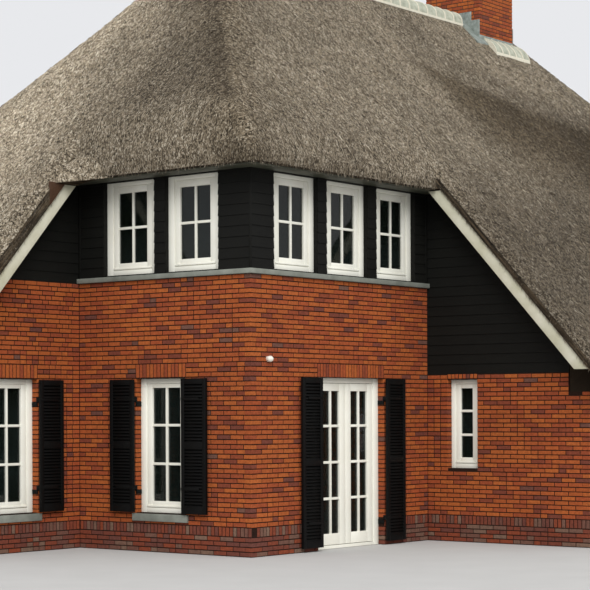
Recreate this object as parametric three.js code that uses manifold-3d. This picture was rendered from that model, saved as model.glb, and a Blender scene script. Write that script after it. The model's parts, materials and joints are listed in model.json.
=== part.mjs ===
// A thatched brick cottage: one hipped thatch roof that sweeps down over two wings, with a two-storey
// block in the near corner between them. Millimetres, +Z up. The ridge runs along Y over the origin,
// and the ground is z = 0. The near corner of the block is at +X, -Y.

import * as THREE from 'three';
import { mergeVertices } from 'three/addons/utils/BufferGeometryUtils.js';
import Module from 'manifold-3d';

const wasm = await Module();
wasm.setup();

// Plan of the brick walls, to their outer faces

const HALF_WIDTH = 5610;
const HALF_LENGTH = 9780;
const CORNER_X = 2950;
const CORNER_Y = -7120;
const LEFT_WING_X = -140;
const RIGHT_WING_Y = -3120;
const WALL = 300;
const GAP = 0.3;
const LAP = 1;

// Heights

const BRICK_TOP = 3650;
const BAND_THICK = 65;
const BAND_TOP = BRICK_TOP + BAND_THICK;
const WING_BRICK_TOP = 2400;
const FLOOR_TOP = 45;
const UPPER_FLOOR_BOTTOM = 2650;
const UPPER_FLOOR_TOP = 2850;
const RAISED_SEAT = 5030;
const LOW_SEAT = 2130;

// Roof

const PITCH = 1.09;
const RIDGE_PLANE = 9000;
const RIDGE_END = 4420;
const REAR_RIDGE_END = 3200;
const HIP_PLANE = RIDGE_PLANE + PITCH * RIDGE_END;
const INNER_SLOPE = 1200;
const UPPER_SLOPE = 1900;
const MID_SLOPE = 4300;
const THATCH_DROP = 444;
const SLOPE_GAP = 0.5;
const EAVE_OUT = 400;
const VERGE_OUT = 350;
const VERGE_END_FLOOR = 2080;
const CREST_ROUND = 150;
const HIP_ROUND_TOP = 350;
const HIP_ROUND_LOW = 900;
const HIP_ROUND_FALL = 3000;
const HIP_EDGE_SHARE = 0.45;
const HIP_EDGE_FADE = 1500;
const RIGHT_VERGE_RISE = 194;
const LIP = 250;
const LIP_MIDDLE = 100;
const LIP_SHARE = 0.5;
const STEP = 5;

// Chimney, ridge caps and lead

const STACK_HALF = 555;
const STACK_FRONT = 2030;
const STACK_BACK = 3110;
const STACK_TOP = 10200;
const FLUE_HALF = 150;
const FLUE_DEPTH = 1000;
const CAP_HALF = 350;
const CAP_LIP = 60;
const CAP_SHOULDER = 190;
const CAP_SHOULDER_RISE = 220;
const CAP_RISE = 310;
const CAPS_START = -3800;
const SIDE_CAPS_START = 2175;
const SIDE_CAPS_END = 3285;
const SIDE_CAPS_WIDTH = 230;
const SIDE_CAPS_ROUND = 45;
const SIDE_CAPS_EDGE = 40;
const SIDE_CAPS_THICK = 75;
const LEAD_OUT = 100;
const LEAD_THICK = 25;
const LEAD_UPSTAND = 150;
const LEAD_UPSTAND_THICK = 15;

// Windows, doors and shutters

const BOARD_RECESS = 20;
const UPPER_WINDOW = { width: 935, bottom: 3735, top: 5005, cols: 2, rows: 2 };
const UPPER_FRONT_CENTRES = [1022, 2152];
const UPPER_SIDE_CENTRES = [957, 2092, 3237];
const UPPER_SET_BACK = 80;
const UPPER_DEPTH = 70;
const LOWER_WINDOW = { width: 900, bottom: 520, top: 2320, cols: 2, rows: 3 };
const FRONT_WINDOW_CENTRE = 1570;
const LEFT_WING_WINDOW_CENTRE = 1250;
const NARROW_WINDOW = { width: 510, bottom: 1050, top: 2320, cols: 1, rows: 3 };
const NARROW_WINDOW_CENTRE = 605;
const NARROW_FRAME_SIDE = 150;
const WING_WINDOW = { width: 1100, bottom: 850, top: 1950, cols: 2, rows: 2 };
const SET_BACK = 100;
const BAR_DEPTH = 40;
const FRAME_DEPTH = 80;
const FRAME_SIDE = 200;
const FRAME_END = 160;
const BAR = 35;
const GLASS = 8;
const SHEET_MARGIN = 30;
const DOOR_WIDTH = 1520;
const DOOR_TOP = 2330;
const DOOR_START = 1393;
const DOOR_JAMB = 115;
const DOOR_HEAD = 70;
const LEAF_DEPTH = 54.5;
const LEAF_SET_BACK = 110;
const DOOR_FRAME_BACK = 165;
const LEAF_WIDTH = 635.5;
const LEAF_STILE = 125;
const LEAF_BOTTOM_RAIL = 152;
const LEAF_TOP_RAIL = 103;
const LEAF_CLEAR = 5;
const LEAF_BOTTOM = 53;
const LEAF_TOP = 2254;
const LEAF_BAR_DEPTH = 30;
const LEAF_REBATE = 15;
const DOOR_AXIS_BACK = 172;
const DOOR_AXIS_IN = 118;
const BARREL_RADIUS = 6.5;
const BARREL_LENGTH = 40;
const HINGE_PLATE = 3;
const HINGE_PLATE_REACH = 40;
const DOOR_HINGE_HEIGHTS = [260, 1150, 2010];
const SHUTTER_WIDTH = 430;
const SHUTTER_THICK = 40;
const SHUTTER_OUT = 45;
const SHUTTER_OVERLAP = 16;
const SHUTTER_CLEAR = 8;
const AXIS_IN = 14;
const AXIS_OUT = 2;
const KNUCKLE_RADIUS = 8;
const ROUND_SIDES = 12;
const KNUCKLE_LENGTH = 60;
const ARM_START = 8;
const ARM_OUT = 3;
const ARM_BITE = 5;
const PINTLE_THICK = 6;
const PINTLE_HEIGHT = 60;
const PINTLE_REACH = 20;
const PINTLE_DEPTH = 8;
const PINTLE_END_GAP = 300;
const PINTLE_BITE = 5;
const PIVOT_GAP = 0.4;
const SILL_THICK = 110;
const SILL_DROP = 10;
const SILL_SIDE = 45;
const SILL_OUT = 40;
const BAND_OUT = 50;

// Bargeboards and soffit

const BARGE_OUT = 285;
const BARGE_THICK = 35;
const BARGE_HEIGHT = 260;
const BARGE_FOOT = 2430;
const SOFFIT_THICK = 18;
const SOFFIT_OUT = 280;
const BARGE_TOP_CLEAR = 3;
const BARGE_TOP = RAISED_SEAT - SOFFIT_THICK - BARGE_TOP_CLEAR;

// Materials

const finish = (color, roughness, metalness = 0) =>
  new THREE.MeshStandardMaterial({ color, roughness, metalness });
const BRICK = finish(0x9c4a2b, 0.9);
const THATCH = finish(0x7b7264, 1.0);
const BOARDING = finish(0x24272a, 0.7);
const FRAME_PAINT = finish(0xe8e4d6, 0.45);
const BLACK_PAINT = finish(0x17181a, 0.45);
const STONE = finish(0x8f989b, 0.8);
const CONCRETE = finish(0x9a9890, 0.9);
const RIDGE_CLAY = finish(0xb9bba6, 0.75);
const LEAD = finish(0x7d858b, 0.5, 0.6);
const PANE = finish(0x6f7f86, 0.05);

const cottage = new THREE.Group();

function add(name, geometry, material) {
  const mesh = new THREE.Mesh(geometry, material);
  mesh.name = name;
  cottage.add(mesh);
}

// Booleans

function toSolid(geometry) {
  const bare = geometry.clone();
  bare.deleteAttribute('normal');
  bare.deleteAttribute('uv');
  const merged = mergeVertices(bare, 0.001);
  return new wasm.Manifold(new wasm.Mesh({
    numProp: 3,
    vertProperties: new Float32Array(merged.attributes.position.array),
    triVerts: new Uint32Array(merged.index.array),
  }));
}

function toGeometry(solid) {
  const mesh = solid.getMesh();
  const geometry = new THREE.BufferGeometry();
  geometry.setAttribute('position', new THREE.BufferAttribute(mesh.vertProperties, 3));
  geometry.setIndex(new THREE.BufferAttribute(mesh.triVerts, 1));
  return geometry;
}

const join = (...pieces) =>
  toGeometry(pieces.map(toSolid).reduce((whole, piece) => whole.add(piece)));

// Faces of the building. A face turns a flat outline (u along the wall, z up) into a slab between two
// distances from the wall's outer face, outward positive.

function face(along, out, offset) {
  const up = new THREE.Vector3(0, 0, 1);
  const basis = new THREE.Matrix4().makeBasis(along, up, out);
  return basis.setPosition(out.clone().multiplyScalar(offset));
}

const axis = (x, y) => new THREE.Vector3(x, y, 0);
const facingFront = (y) => face(axis(1, 0), axis(0, -1), -y);
const facingRight = (x) => face(axis(0, 1), axis(1, 0), x);
const facingBack = (y) => face(axis(-1, 0), axis(0, 1), y);
const facingLeft = (x) => face(axis(0, -1), axis(-1, 0), -x);

// A flat outline made solid, with holes cut right through it
function thicken(points, holes, bottom, top) {
  const solid = (outline, from, to) => {
    const shape = new THREE.Shape(outline.map(([u, v]) => new THREE.Vector2(u, v)));
    const geometry = new THREE.ExtrudeGeometry(shape, { depth: to - from, bevelEnabled: false });
    return geometry.translate(0, 0, from);
  };
  const whole = solid(points, bottom, top);
  if (holes.length === 0) {
    return whole;
  }
  const cutters = holes.map((outline) => toSolid(solid(outline, bottom - LAP, top + LAP)));
  return toGeometry(cutters.reduce((rest, cutter) => rest.subtract(cutter), toSolid(whole)));
}

const slab = (wall, points, holes, inner, outer) =>
  thicken(points, holes, inner, outer).applyMatrix4(wall);

const rectangle = (u0, u1, z0, z1) => [[u0, z0], [u1, z0], [u1, z1], [u0, z1]];

function opening(centre, window) {
  return {
    left: centre - window.width / 2,
    right: centre + window.width / 2,
    bottom: window.bottom,
    top: window.top,
    cols: window.cols,
    rows: window.rows,
  };
}

const hole = (o) => rectangle(o.left, o.right, o.bottom, o.top);
const fitted = (o, gap = GAP) =>
  rectangle(o.left + gap, o.right - gap, o.bottom + gap, o.top - gap);

function paneHoles(o, side, below, above) {
  const wide = (o.right - o.left - 2 * side - (o.cols - 1) * BAR) / o.cols;
  const high = (o.top - o.bottom - below - above - (o.rows - 1) * BAR) / o.rows;
  const panes = [];
  for (let col = 0; col < o.cols; col += 1) {
    for (let row = 0; row < o.rows; row += 1) {
      const u = o.left + side + col * (wide + BAR);
      const z = o.bottom + below + row * (high + BAR);
      panes.push(rectangle(u, u + wide, z, z + high));
    }
  }
  return panes;
}

const windowPanes = (o) => paneHoles(o, FRAME_SIDE, FRAME_END, FRAME_END);
const glazedArea = (o, edge) =>
  rectangle(o.left + FRAME_SIDE - edge, o.right - FRAME_SIDE + edge,
    o.bottom + FRAME_END - edge, o.top - FRAME_END + edge);

// The openings, each along its own wall

const FRONT = facingFront(CORNER_Y);
const SIDE = facingRight(CORNER_X);
const LEFT_WING_SIDE = facingRight(LEFT_WING_X);
const RIGHT_WING_SIDE = facingFront(RIGHT_WING_Y);
const frontWindow = opening(CORNER_X - FRONT_WINDOW_CENTRE, LOWER_WINDOW);
const leftWingWindow = opening(CORNER_Y - LEFT_WING_WINDOW_CENTRE, LOWER_WINDOW);
const narrowWindow = opening(CORNER_X + NARROW_WINDOW_CENTRE, NARROW_WINDOW);
const upperFront = UPPER_FRONT_CENTRES.map((s) => opening(CORNER_X - s, UPPER_WINDOW));
const upperSide = UPPER_SIDE_CENTRES.map((t) => opening(CORNER_Y + t, UPPER_WINDOW));
const doorway = {
  left: CORNER_Y + DOOR_START,
  right: CORNER_Y + DOOR_START + DOOR_WIDTH,
  bottom: 0,
  top: DOOR_TOP,
};

// Roof surfaces

const OUTLINE = [
  [-HALF_WIDTH - EAVE_OUT, -HALF_LENGTH - EAVE_OUT],
  [LEFT_WING_X + VERGE_OUT, -HALF_LENGTH - EAVE_OUT],
  [LEFT_WING_X + VERGE_OUT, CORNER_Y - EAVE_OUT],
  [CORNER_X + EAVE_OUT, CORNER_Y - EAVE_OUT],
  [CORNER_X + EAVE_OUT, RIGHT_WING_Y - VERGE_OUT],
  [HALF_WIDTH + EAVE_OUT, RIGHT_WING_Y - VERGE_OUT],
  [HALF_WIDTH + EAVE_OUT, HALF_LENGTH + EAVE_OUT],
  [-HALF_WIDTH - EAVE_OUT, HALF_LENGTH + EAVE_OUT],
];

function edgeDistance(x, y) {
  const point = new THREE.Vector3(x, y, 0);
  const nearest = new THREE.Vector3();
  const distances = OUTLINE.map(([x0, y0], i) => {
    const [x1, y1] = OUTLINE[(i + 1) % OUTLINE.length];
    const edge = new THREE.Line3(new THREE.Vector3(x0, y0, 0), new THREE.Vector3(x1, y1, 0));
    return edge.closestPointToPoint(point, true, nearest).distanceTo(point);
  });
  return Math.min(...distances);
}

// The rear hip rises from the same eave level to an end of the ridge that lies nearer the middle, so
// it is less steep than the others
const EAVE_LINE = HALF_WIDTH + EAVE_OUT;
const REAR_RUN = (HALF_LENGTH + EAVE_OUT - REAR_RIDGE_END) / EAVE_LINE;
const REAR_PITCH = PITCH / REAR_RUN;
const REAR_PLANE = RIDGE_PLANE + REAR_PITCH * REAR_RIDGE_END;

const slopePlane = (x) => RIDGE_PLANE - PITCH * Math.abs(x);
const hipPlane = (y) => (y < 0 ? HIP_PLANE + PITCH * y : REAR_PLANE - REAR_PITCH * y);

// The four planes, with the crest and the hips rounded
function thatchPlane(x, y) {
  const slope = RIDGE_PLANE - PITCH * Math.hypot(x, CREST_ROUND);
  const hip = hipPlane(y);
  const low = Math.min(slope, hip);
  const fall = THREE.MathUtils.clamp((RIDGE_PLANE - low) / HIP_ROUND_FALL, 0, 1);
  const fromEdge = THREE.MathUtils.smoothstep(edgeDistance(x, y), 0, HIP_EDGE_FADE);
  const round = THREE.MathUtils.lerp(HIP_ROUND_TOP, HIP_ROUND_LOW, fall)
    * THREE.MathUtils.lerp(HIP_EDGE_SHARE, 1, fromEdge);
  const nearness = Math.max(round - Math.abs(slope - hip), 0) / round;
  return low - nearness * nearness * round / 4;
}

// Level where the thatch sits on a wall or shows from below, and parallel to the top elsewhere
function thatchUnderside(x, y) {
  const slope = Math.min(slopePlane(x), hipPlane(y)) - THATCH_DROP;
  const besideCorner = x >= LEFT_WING_X + STEP && y <= CORNER_Y + WALL - STEP;
  const overCorner = x >= CORNER_X - WALL + STEP && y <= RIGHT_WING_Y - STEP;
  const pastLeftVerge = x > LEFT_WING_X && y < CORNER_Y - EAVE_OUT;
  const pastRightVerge = y < RIGHT_WING_Y && x > CORNER_X + EAVE_OUT;
  if (pastLeftVerge || pastRightVerge) {
    return Math.max(slope + (pastRightVerge ? RIGHT_VERGE_RISE : 0), VERGE_END_FLOOR);
  }
  if (besideCorner || overCorner) {
    return RAISED_SEAT;
  }
  const overLongWall = Math.abs(x) >= HALF_WIDTH - WALL + STEP;
  const overEndWall = Math.abs(y) >= HALF_LENGTH - WALL + STEP;
  return overLongWall || overEndWall ? LOW_SEAT : slope;
}

// The upper surface, rounded down along the edges by a share of the thickness there
function thatchTop(x, y) {
  const rounding = Math.max(1 - edgeDistance(x, y) / LIP, 0);
  const plane = thatchPlane(x, y);
  return plane - LIP_SHARE * (plane - thatchUnderside(x, y)) * rounding * rounding;
}

// Lines of the roof's grid: its edges and steps, the places where the chimney and its lead stand, and
// a few between them. Each line of the long slopes meets one of the hipped ends on the hip, so that
// the grid's diagonals run along the hips.
const sorted = (lines) => [...new Set(lines)].sort((a, b) => a - b);
const WALL_LINE = HALF_WIDTH - WALL;
const FRONT_WALL_HIP = HALF_LENGTH - WALL - RIDGE_END;
const inward = (edge, sign) => [edge, edge + sign * LIP_MIDDLE, edge + sign * LIP];
const fromRidge = [
  0, CAP_HALF, STACK_HALF + GAP, STACK_HALF + LEAD_UPSTAND_THICK, STACK_HALF + LEAD_OUT,
  INNER_SLOPE, UPPER_SLOPE, CORNER_X - WALL, CORNER_X - WALL + STEP, CORNER_X,
  ...inward(CORNER_X + EAVE_OUT, -1), MID_SLOPE, FRONT_WALL_HIP, FRONT_WALL_HIP + STEP,
  WALL_LINE, WALL_LINE + STEP, ...inward(EAVE_LINE, -1),
];
const roofX = sorted([
  ...fromRidge.flatMap((x) => [-x, x]),
  LEFT_WING_X, LEFT_WING_X + STEP, ...inward(LEFT_WING_X + VERGE_OUT, -1),
  CORNER_X + EAVE_OUT + STEP,
]);
const roofY = sorted([
  ...fromRidge.map((x) => -RIDGE_END - x).filter((y) => y > -HALF_LENGTH),
  ...fromRidge.map((x) => REAR_RIDGE_END + x * REAR_RUN).filter((y) => y < HALF_LENGTH),
  ...inward(-HALF_LENGTH - EAVE_OUT, 1), ...inward(HALF_LENGTH + EAVE_OUT, -1),
  HALF_LENGTH - WALL, HALF_LENGTH - WALL + STEP,
  CORNER_Y - EAVE_OUT - STEP, ...inward(CORNER_Y - EAVE_OUT, 1),
  CORNER_Y, CORNER_Y + WALL - STEP, CORNER_Y + WALL,
  ...inward(RIGHT_WING_Y - VERGE_OUT, 1), RIGHT_WING_Y - STEP, RIGHT_WING_Y, 0,
  STACK_FRONT - LEAD_OUT, STACK_FRONT - LEAD_UPSTAND_THICK, STACK_FRONT - GAP,
  STACK_BACK + GAP, STACK_BACK + LEAD_UPSTAND_THICK, STACK_BACK + LEAD_OUT,
]);

const inNotch = (x, y) =>
  (x > LEFT_WING_X + VERGE_OUT && y < CORNER_Y - EAVE_OUT)
  || (x > CORNER_X + EAVE_OUT && y < RIGHT_WING_Y - VERGE_OUT);
const inStack = (x, y) => Math.abs(x) < STACK_HALF && y > STACK_FRONT && y < STACK_BACK;

// A closed slab between two height functions, over the cells of a grid that `covers` accepts
function gridSlab(xs, ys, covers, top, bottom) {
  const rows = ys.length;
  const positions = [];
  for (const height of [top, bottom]) {
    for (const x of xs) {
      for (const y of ys) {
        positions.push(x, y, height(x, y));
      }
    }
  }
  const layer = xs.length * rows;
  const at = (i, j) => i * rows + j;
  const covered = (i, j) => i >= 0 && j >= 0 && i < xs.length - 1 && j < rows - 1
    && covers((xs[i] + xs[i + 1]) / 2, (ys[j] + ys[j + 1]) / 2);
  const faces = [];
  const side = (a, b) => faces.push(a, b + layer, b, a, a + layer, b + layer);
  for (let i = 0; i < xs.length - 1; i += 1) {
    for (let j = 0; j < rows - 1; j += 1) {
      if (covered(i, j)) {
        const [a, b, c, d] = [at(i, j), at(i + 1, j), at(i + 1, j + 1), at(i, j + 1)];
        const alongHip = (xs[i] + xs[i + 1]) * (ys[j] + ys[j + 1]) > 0;
        const halves = alongHip ? [a, b, c, a, c, d] : [a, b, d, b, c, d];
        faces.push(...halves);
        faces.push(...halves.map((v) => v + layer).reverse());
        if (!covered(i, j - 1)) side(a, b);
        if (!covered(i + 1, j)) side(b, c);
        if (!covered(i, j + 1)) side(c, d);
        if (!covered(i - 1, j)) side(d, a);
      }
    }
  }
  const geometry = new THREE.BufferGeometry();
  geometry.setAttribute('position', new THREE.Float32BufferAttribute(positions, 3));
  geometry.setIndex(faces);
  return geometry.toNonIndexed();
}

// Roof

function addThatch() {
  const covers = (x, y) => !inNotch(x, y) && !inStack(x, y);
  add('thatch_roof', gridSlab(roofX, roofY, covers, thatchTop, thatchUnderside), THATCH);
}

// Just over the thatch on the crest and the long slopes
const overCrest = (x) => RIDGE_PLANE - PITCH * Math.hypot(x, CREST_ROUND) + GAP;

// The ridge caps' section: its underside follows the crest of the thatch
function capSection() {
  const seat = roofX.filter((x) => Math.abs(x) <= CAP_HALF).map((x) => [x, overCrest(x)]);
  const edge = overCrest(CAP_HALF);
  return [
    ...seat,
    [CAP_HALF, edge + CAP_LIP], [CAP_SHOULDER, edge + CAP_SHOULDER_RISE],
    [0, edge + CAP_RISE],
    [-CAP_SHOULDER, edge + CAP_SHOULDER_RISE], [-CAP_HALF, edge + CAP_LIP],
  ];
}

// The section of the caps that lie on the slope beside the chimney, outside its lead
function sideCapSection(sign) {
  const near = STACK_HALF + LEAD_OUT + GAP;
  const far = near + SIDE_CAPS_WIDTH;
  const shoulder = far - SIDE_CAPS_ROUND;
  const section = [
    [near, overCrest(near)], [far, overCrest(far)], [far, overCrest(far) + SIDE_CAPS_EDGE],
    [shoulder, overCrest(shoulder) + SIDE_CAPS_THICK], [near, overCrest(near) + SIDE_CAPS_THICK],
  ].map(([x, z]) => [sign * x, z]);
  return sign < 0 ? section.reverse() : section;
}

function addRidgeCaps() {
  const caps = (section, start, end) => slab(facingFront(0), section, [], -end, -start);
  const end = STACK_FRONT - LEAD_OUT - GAP;
  add('ridge_caps', caps(capSection(), CAPS_START, end), RIDGE_CLAY);
  const beside = (sign) => caps(sideCapSection(sign), SIDE_CAPS_START, SIDE_CAPS_END);
  add('side_caps_right', beside(1), RIDGE_CLAY);
  add('side_caps_left', beside(-1), RIDGE_CLAY);
}

function addChimney() {
  const stack = thicken(
    rectangle(-STACK_HALF, STACK_HALF, STACK_FRONT, STACK_BACK), [],
    FLOOR_TOP + GAP, STACK_TOP - FLUE_DEPTH,
  );
  const middle = (STACK_FRONT + STACK_BACK) / 2;
  const flue = rectangle(-FLUE_HALF, FLUE_HALF, middle - FLUE_HALF, middle + FLUE_HALF);
  const shaft = thicken(
    rectangle(-STACK_HALF, STACK_HALF, STACK_FRONT, STACK_BACK), [flue],
    STACK_TOP - FLUE_DEPTH - LAP, STACK_TOP,
  );
  add('chimney_stack', join(stack, shaft), BRICK);
  addFlashing();
}

// Lead laid on the thatch round the stack, turned up against the brick
function addFlashing() {
  const inLead = (x, y) => Math.abs(x) < STACK_HALF + LEAD_OUT
    && y > STACK_FRONT - LEAD_OUT && y < STACK_BACK + LEAD_OUT && !inStack(x, y);
  const upstand = LEAD_UPSTAND_THICK + LAP;
  const nearStack = (x, y) => Math.abs(x) < STACK_HALF + upstand
    && y > STACK_FRONT - upstand && y < STACK_BACK + upstand;
  const top = (x, y) => thatchTop(x, y) + (nearStack(x, y) ? LEAD_UPSTAND : LEAD_THICK);
  const bottom = (x, y) => thatchTop(x, y) + GAP;
  add('chimney_flashing', gridSlab(roofX, roofY, inLead, top, bottom), LEAD);
}

// A board under the slope of a verge, cut level at its head and its foot
function bargeOutline(plane, sign) {
  const reach = (z) => sign * (plane - THATCH_DROP - z) / PITCH;
  return [
    [reach(BARGE_TOP), BARGE_TOP],
    [reach(BARGE_TOP + BARGE_HEIGHT), BARGE_TOP],
    [reach(BARGE_FOOT + BARGE_HEIGHT), BARGE_FOOT],
    [reach(BARGE_FOOT), BARGE_FOOT],
  ];
}

function addBargeboards() {
  const left = slab(LEFT_WING_SIDE, bargeOutline(HIP_PLANE - SLOPE_GAP, -1), [],
    BARGE_OUT, BARGE_OUT + BARGE_THICK);
  const rightPlane = RIDGE_PLANE + RIGHT_VERGE_RISE - SLOPE_GAP;
  const right = slab(RIGHT_WING_SIDE, bargeOutline(rightPlane, 1), [],
    BARGE_OUT, BARGE_OUT + BARGE_THICK);
  add('left_bargeboard', left, FRAME_PAINT);
  add('right_bargeboard', right, FRAME_PAINT);
}

function addSoffit() {
  const top = RAISED_SEAT - GAP;
  const outerX = CORNER_X + SOFFIT_OUT;
  const outerY = CORNER_Y - SOFFIT_OUT;
  const startX = LEFT_WING_X + 2 * STEP;
  const endY = RIGHT_WING_Y - 2 * STEP;
  add('eave_soffit', thicken([
    [startX, outerY], [outerX, outerY], [outerX, endY],
    [CORNER_X + GAP, endY], [CORNER_X + GAP, CORNER_Y - GAP], [startX, CORNER_Y - GAP],
  ], [], top - SOFFIT_THICK, top), FRAME_PAINT);
}

// Floors

function roomOutline(farX, frontY, backY) {
  const wingX = LEFT_WING_X - WALL - GAP;
  const cornerX = CORNER_X - WALL - GAP;
  const cornerY = CORNER_Y + WALL + GAP;
  const wingY = RIGHT_WING_Y + WALL + GAP;
  return [
    [-farX, -frontY], [wingX, -frontY], [wingX, cornerY], [cornerX, cornerY],
    [cornerX, wingY], [farX, wingY], [farX, backY], [-farX, backY],
  ];
}

function addFloors() {
  const farX = HALF_WIDTH - WALL - GAP;
  const farY = HALF_LENGTH - WALL - GAP;
  add('ground_floor_slab', thicken(roomOutline(farX, farY, farY), [], 0, FLOOR_TOP), CONCRETE);
  const underThatch = (plane, pitch) => (plane - THATCH_DROP - UPPER_FLOOR_TOP - STEP) / pitch;
  const shaft = rectangle(-STACK_HALF - GAP, STACK_HALF + GAP, STACK_FRONT - GAP, STACK_BACK + GAP);
  const frontY = Math.min(underThatch(HIP_PLANE, PITCH), farY);
  const backY = underThatch(REAR_PLANE, REAR_PITCH);
  const outline = roomOutline(underThatch(RIDGE_PLANE, PITCH), frontY, backY);
  add('upper_floor', thicken(outline, [shaft], UPPER_FLOOR_BOTTOM, UPPER_FLOOR_TOP), CONCRETE);
}

// Brick walls

function addCornerWalls() {
  const start = LEFT_WING_X + GAP;
  add('corner_front_wall', slab(FRONT, rectangle(start, CORNER_X, 0, BRICK_TOP),
    [hole(frontWindow)], -WALL, 0), BRICK);
  const near = rectangle(CORNER_Y + WALL + GAP, doorway.left, 0, BRICK_TOP);
  const far = rectangle(doorway.right, RIGHT_WING_Y + WALL, 0, BRICK_TOP);
  const over = rectangle(doorway.left + GAP, doorway.right - GAP, DOOR_TOP, BRICK_TOP);
  add('corner_side_wall_near', slab(SIDE, near, [], -WALL, 0), BRICK);
  add('corner_side_wall_far', slab(SIDE, far, [], -WALL, 0), BRICK);
  add('corner_side_wall_over_door', slab(SIDE, over, [], -WALL, 0), BRICK);
}

// Heights along the two gables, just under the thatch
const leftSlope = (y) => hipPlane(y) - THATCH_DROP - SLOPE_GAP;
const leftSlopeAt = (z) => -(HIP_PLANE - THATCH_DROP - SLOPE_GAP - z) / PITCH;
const rightSlope = (x) => slopePlane(x) - THATCH_DROP - SLOPE_GAP;

function addWingWalls() {
  const frontY = -HALF_LENGTH + WALL + GAP;
  const innerY = CORNER_Y + WALL;
  add('left_wing_side_wall', slab(LEFT_WING_SIDE, [
    [frontY, 0], [innerY, 0], [innerY, BRICK_TOP],
    [leftSlopeAt(BRICK_TOP), BRICK_TOP], [frontY, leftSlope(frontY)],
  ], [hole(leftWingWindow)], -WALL, 0), BRICK);
  const endX = HALF_WIDTH - WALL - 2 * STEP;
  add('right_wing_side_wall', slab(RIGHT_WING_SIDE, [
    [CORNER_X + GAP, 0], [HALF_WIDTH, 0], [HALF_WIDTH, LOW_SEAT - GAP],
    [endX, LOW_SEAT - GAP], [endX, WING_BRICK_TOP], [CORNER_X + GAP, WING_BRICK_TOP],
  ], [hole(narrowWindow)], -WALL, 0), BRICK);
}

const spread = (from, to, count) =>
  Array.from({ length: count }, (_, i) => from + (to - from) * (i + 0.5) / count);

// The walls that the view doesn't show, each with its row of windows
const outerWalls = [
  {
    name: 'left_wing_front', wall: facingFront(-HALF_LENGTH),
    start: -HALF_WIDTH, end: LEFT_WING_X, count: 2,
  },
  {
    name: 'left_long', wall: facingLeft(-HALF_WIDTH),
    start: -HALF_LENGTH + WALL + GAP, end: HALF_LENGTH - WALL - GAP, count: 4,
  },
  {
    name: 'back', wall: facingBack(HALF_LENGTH),
    start: -HALF_WIDTH, end: HALF_WIDTH, count: 3,
  },
  {
    name: 'right_long', wall: facingRight(HALF_WIDTH),
    start: RIGHT_WING_Y + WALL + GAP, end: HALF_LENGTH - WALL - GAP, count: 3,
  },
];

// Frames that line the wall, on one sheet of glass behind it
function glazedRow(wall, openings, panes, margin) {
  const behind = -WALL - GAP;
  const frames = openings.map((o) =>
    slab(wall, fitted(o), panes(o), behind - LAP, -SET_BACK));
  const first = openings[0];
  const last = openings[openings.length - 1];
  const sheet = rectangle(first.left - margin, last.right + margin,
    first.bottom - margin, first.top + margin);
  return join(slab(wall, sheet, [], behind - GLASS, behind), ...frames);
}

function addOuterWalls() {
  for (const { name, wall, start, end, count } of outerWalls) {
    const openings = spread(start + WALL, end - WALL, count).map((u) => opening(u, WING_WINDOW));
    const outline = rectangle(start, end, 0, LOW_SEAT - GAP);
    add(`${name}_wall`, slab(wall, outline, openings.map(hole), -WALL, 0), BRICK);
    add(`${name}_windows`, glazedRow(wall, openings, windowPanes, SHEET_MARGIN), FRAME_PAINT);
  }
}

// Boarded upper storey and gables

function addBoarding() {
  const bottom = BAND_TOP + GAP;
  const top = RAISED_SEAT - GAP;
  const endX = CORNER_X - BOARD_RECESS;
  const startX = LEFT_WING_X - BOARD_RECESS + GAP;
  add('upper_front_boarding', slab(FRONT, rectangle(startX, endX, bottom, top),
    upperFront.map(hole), -WALL, -BOARD_RECESS), BOARDING);
  const startY = CORNER_Y + WALL + GAP;
  const endY = RIGHT_WING_Y + BOARD_RECESS - GAP;
  add('upper_side_boarding', slab(SIDE, rectangle(startY, endY, bottom, top),
    upperSide.map(hole), -WALL, -BOARD_RECESS), BOARDING);
  const innerY = CORNER_Y + WALL;
  const brick = BRICK_TOP + GAP;
  add('left_gable_boarding', slab(LEFT_WING_SIDE, [
    [leftSlopeAt(brick), brick], [innerY, brick], [innerY, leftSlope(innerY)],
  ], [], -WALL, -BOARD_RECESS), BOARDING);
  const innerX = CORNER_X - WALL;
  const outerX = HALF_WIDTH - WALL - 2 * STEP;
  const low = WING_BRICK_TOP + GAP;
  add('right_gable_boarding', slab(RIGHT_WING_SIDE, [
    [innerX, brick], [CORNER_X + GAP, brick], [CORNER_X + GAP, low], [outerX, low],
    [outerX, rightSlope(outerX)], [innerX, rightSlope(innerX)],
  ], [], -WALL, -BOARD_RECESS), BOARDING);
}

// Stone

function addSillBand() {
  const startX = LEFT_WING_X + GAP;
  const endY = RIGHT_WING_Y - GAP;
  add('sill_band', thicken([
    [startX, CORNER_Y - BAND_OUT], [CORNER_X + BAND_OUT, CORNER_Y - BAND_OUT],
    [CORNER_X + BAND_OUT, endY], [CORNER_X - WALL, endY],
    [CORNER_X - WALL, CORNER_Y + WALL], [startX, CORNER_Y + WALL],
  ], [], BRICK_TOP + GAP, BAND_TOP), STONE);
}

// A sill that stands proud of the wall under a window
function windowSill(wall, o) {
  const outline = rectangle(o.left - SILL_SIDE, o.right + SILL_SIDE,
    o.bottom - SILL_THICK, o.bottom - SILL_DROP);
  return slab(wall, outline, [], GAP, SILL_OUT);
}

function addSills() {
  add('front_window_sill', windowSill(FRONT, frontWindow), STONE);
  add('left_wing_window_sill', windowSill(LEFT_WING_SIDE, leftWingWindow), STONE);
}

// Pintles: a thin plate along the reveal, and a tab that holds the pin under each knuckle

function shutterSpan(o) {
  const bottom = o.bottom + SHUTTER_CLEAR;
  const top = o.top - SHUTTER_CLEAR;
  const knuckles = [bottom + PINTLE_END_GAP, top - PINTLE_END_GAP];
  return { bottom, top, knuckles };
}

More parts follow.
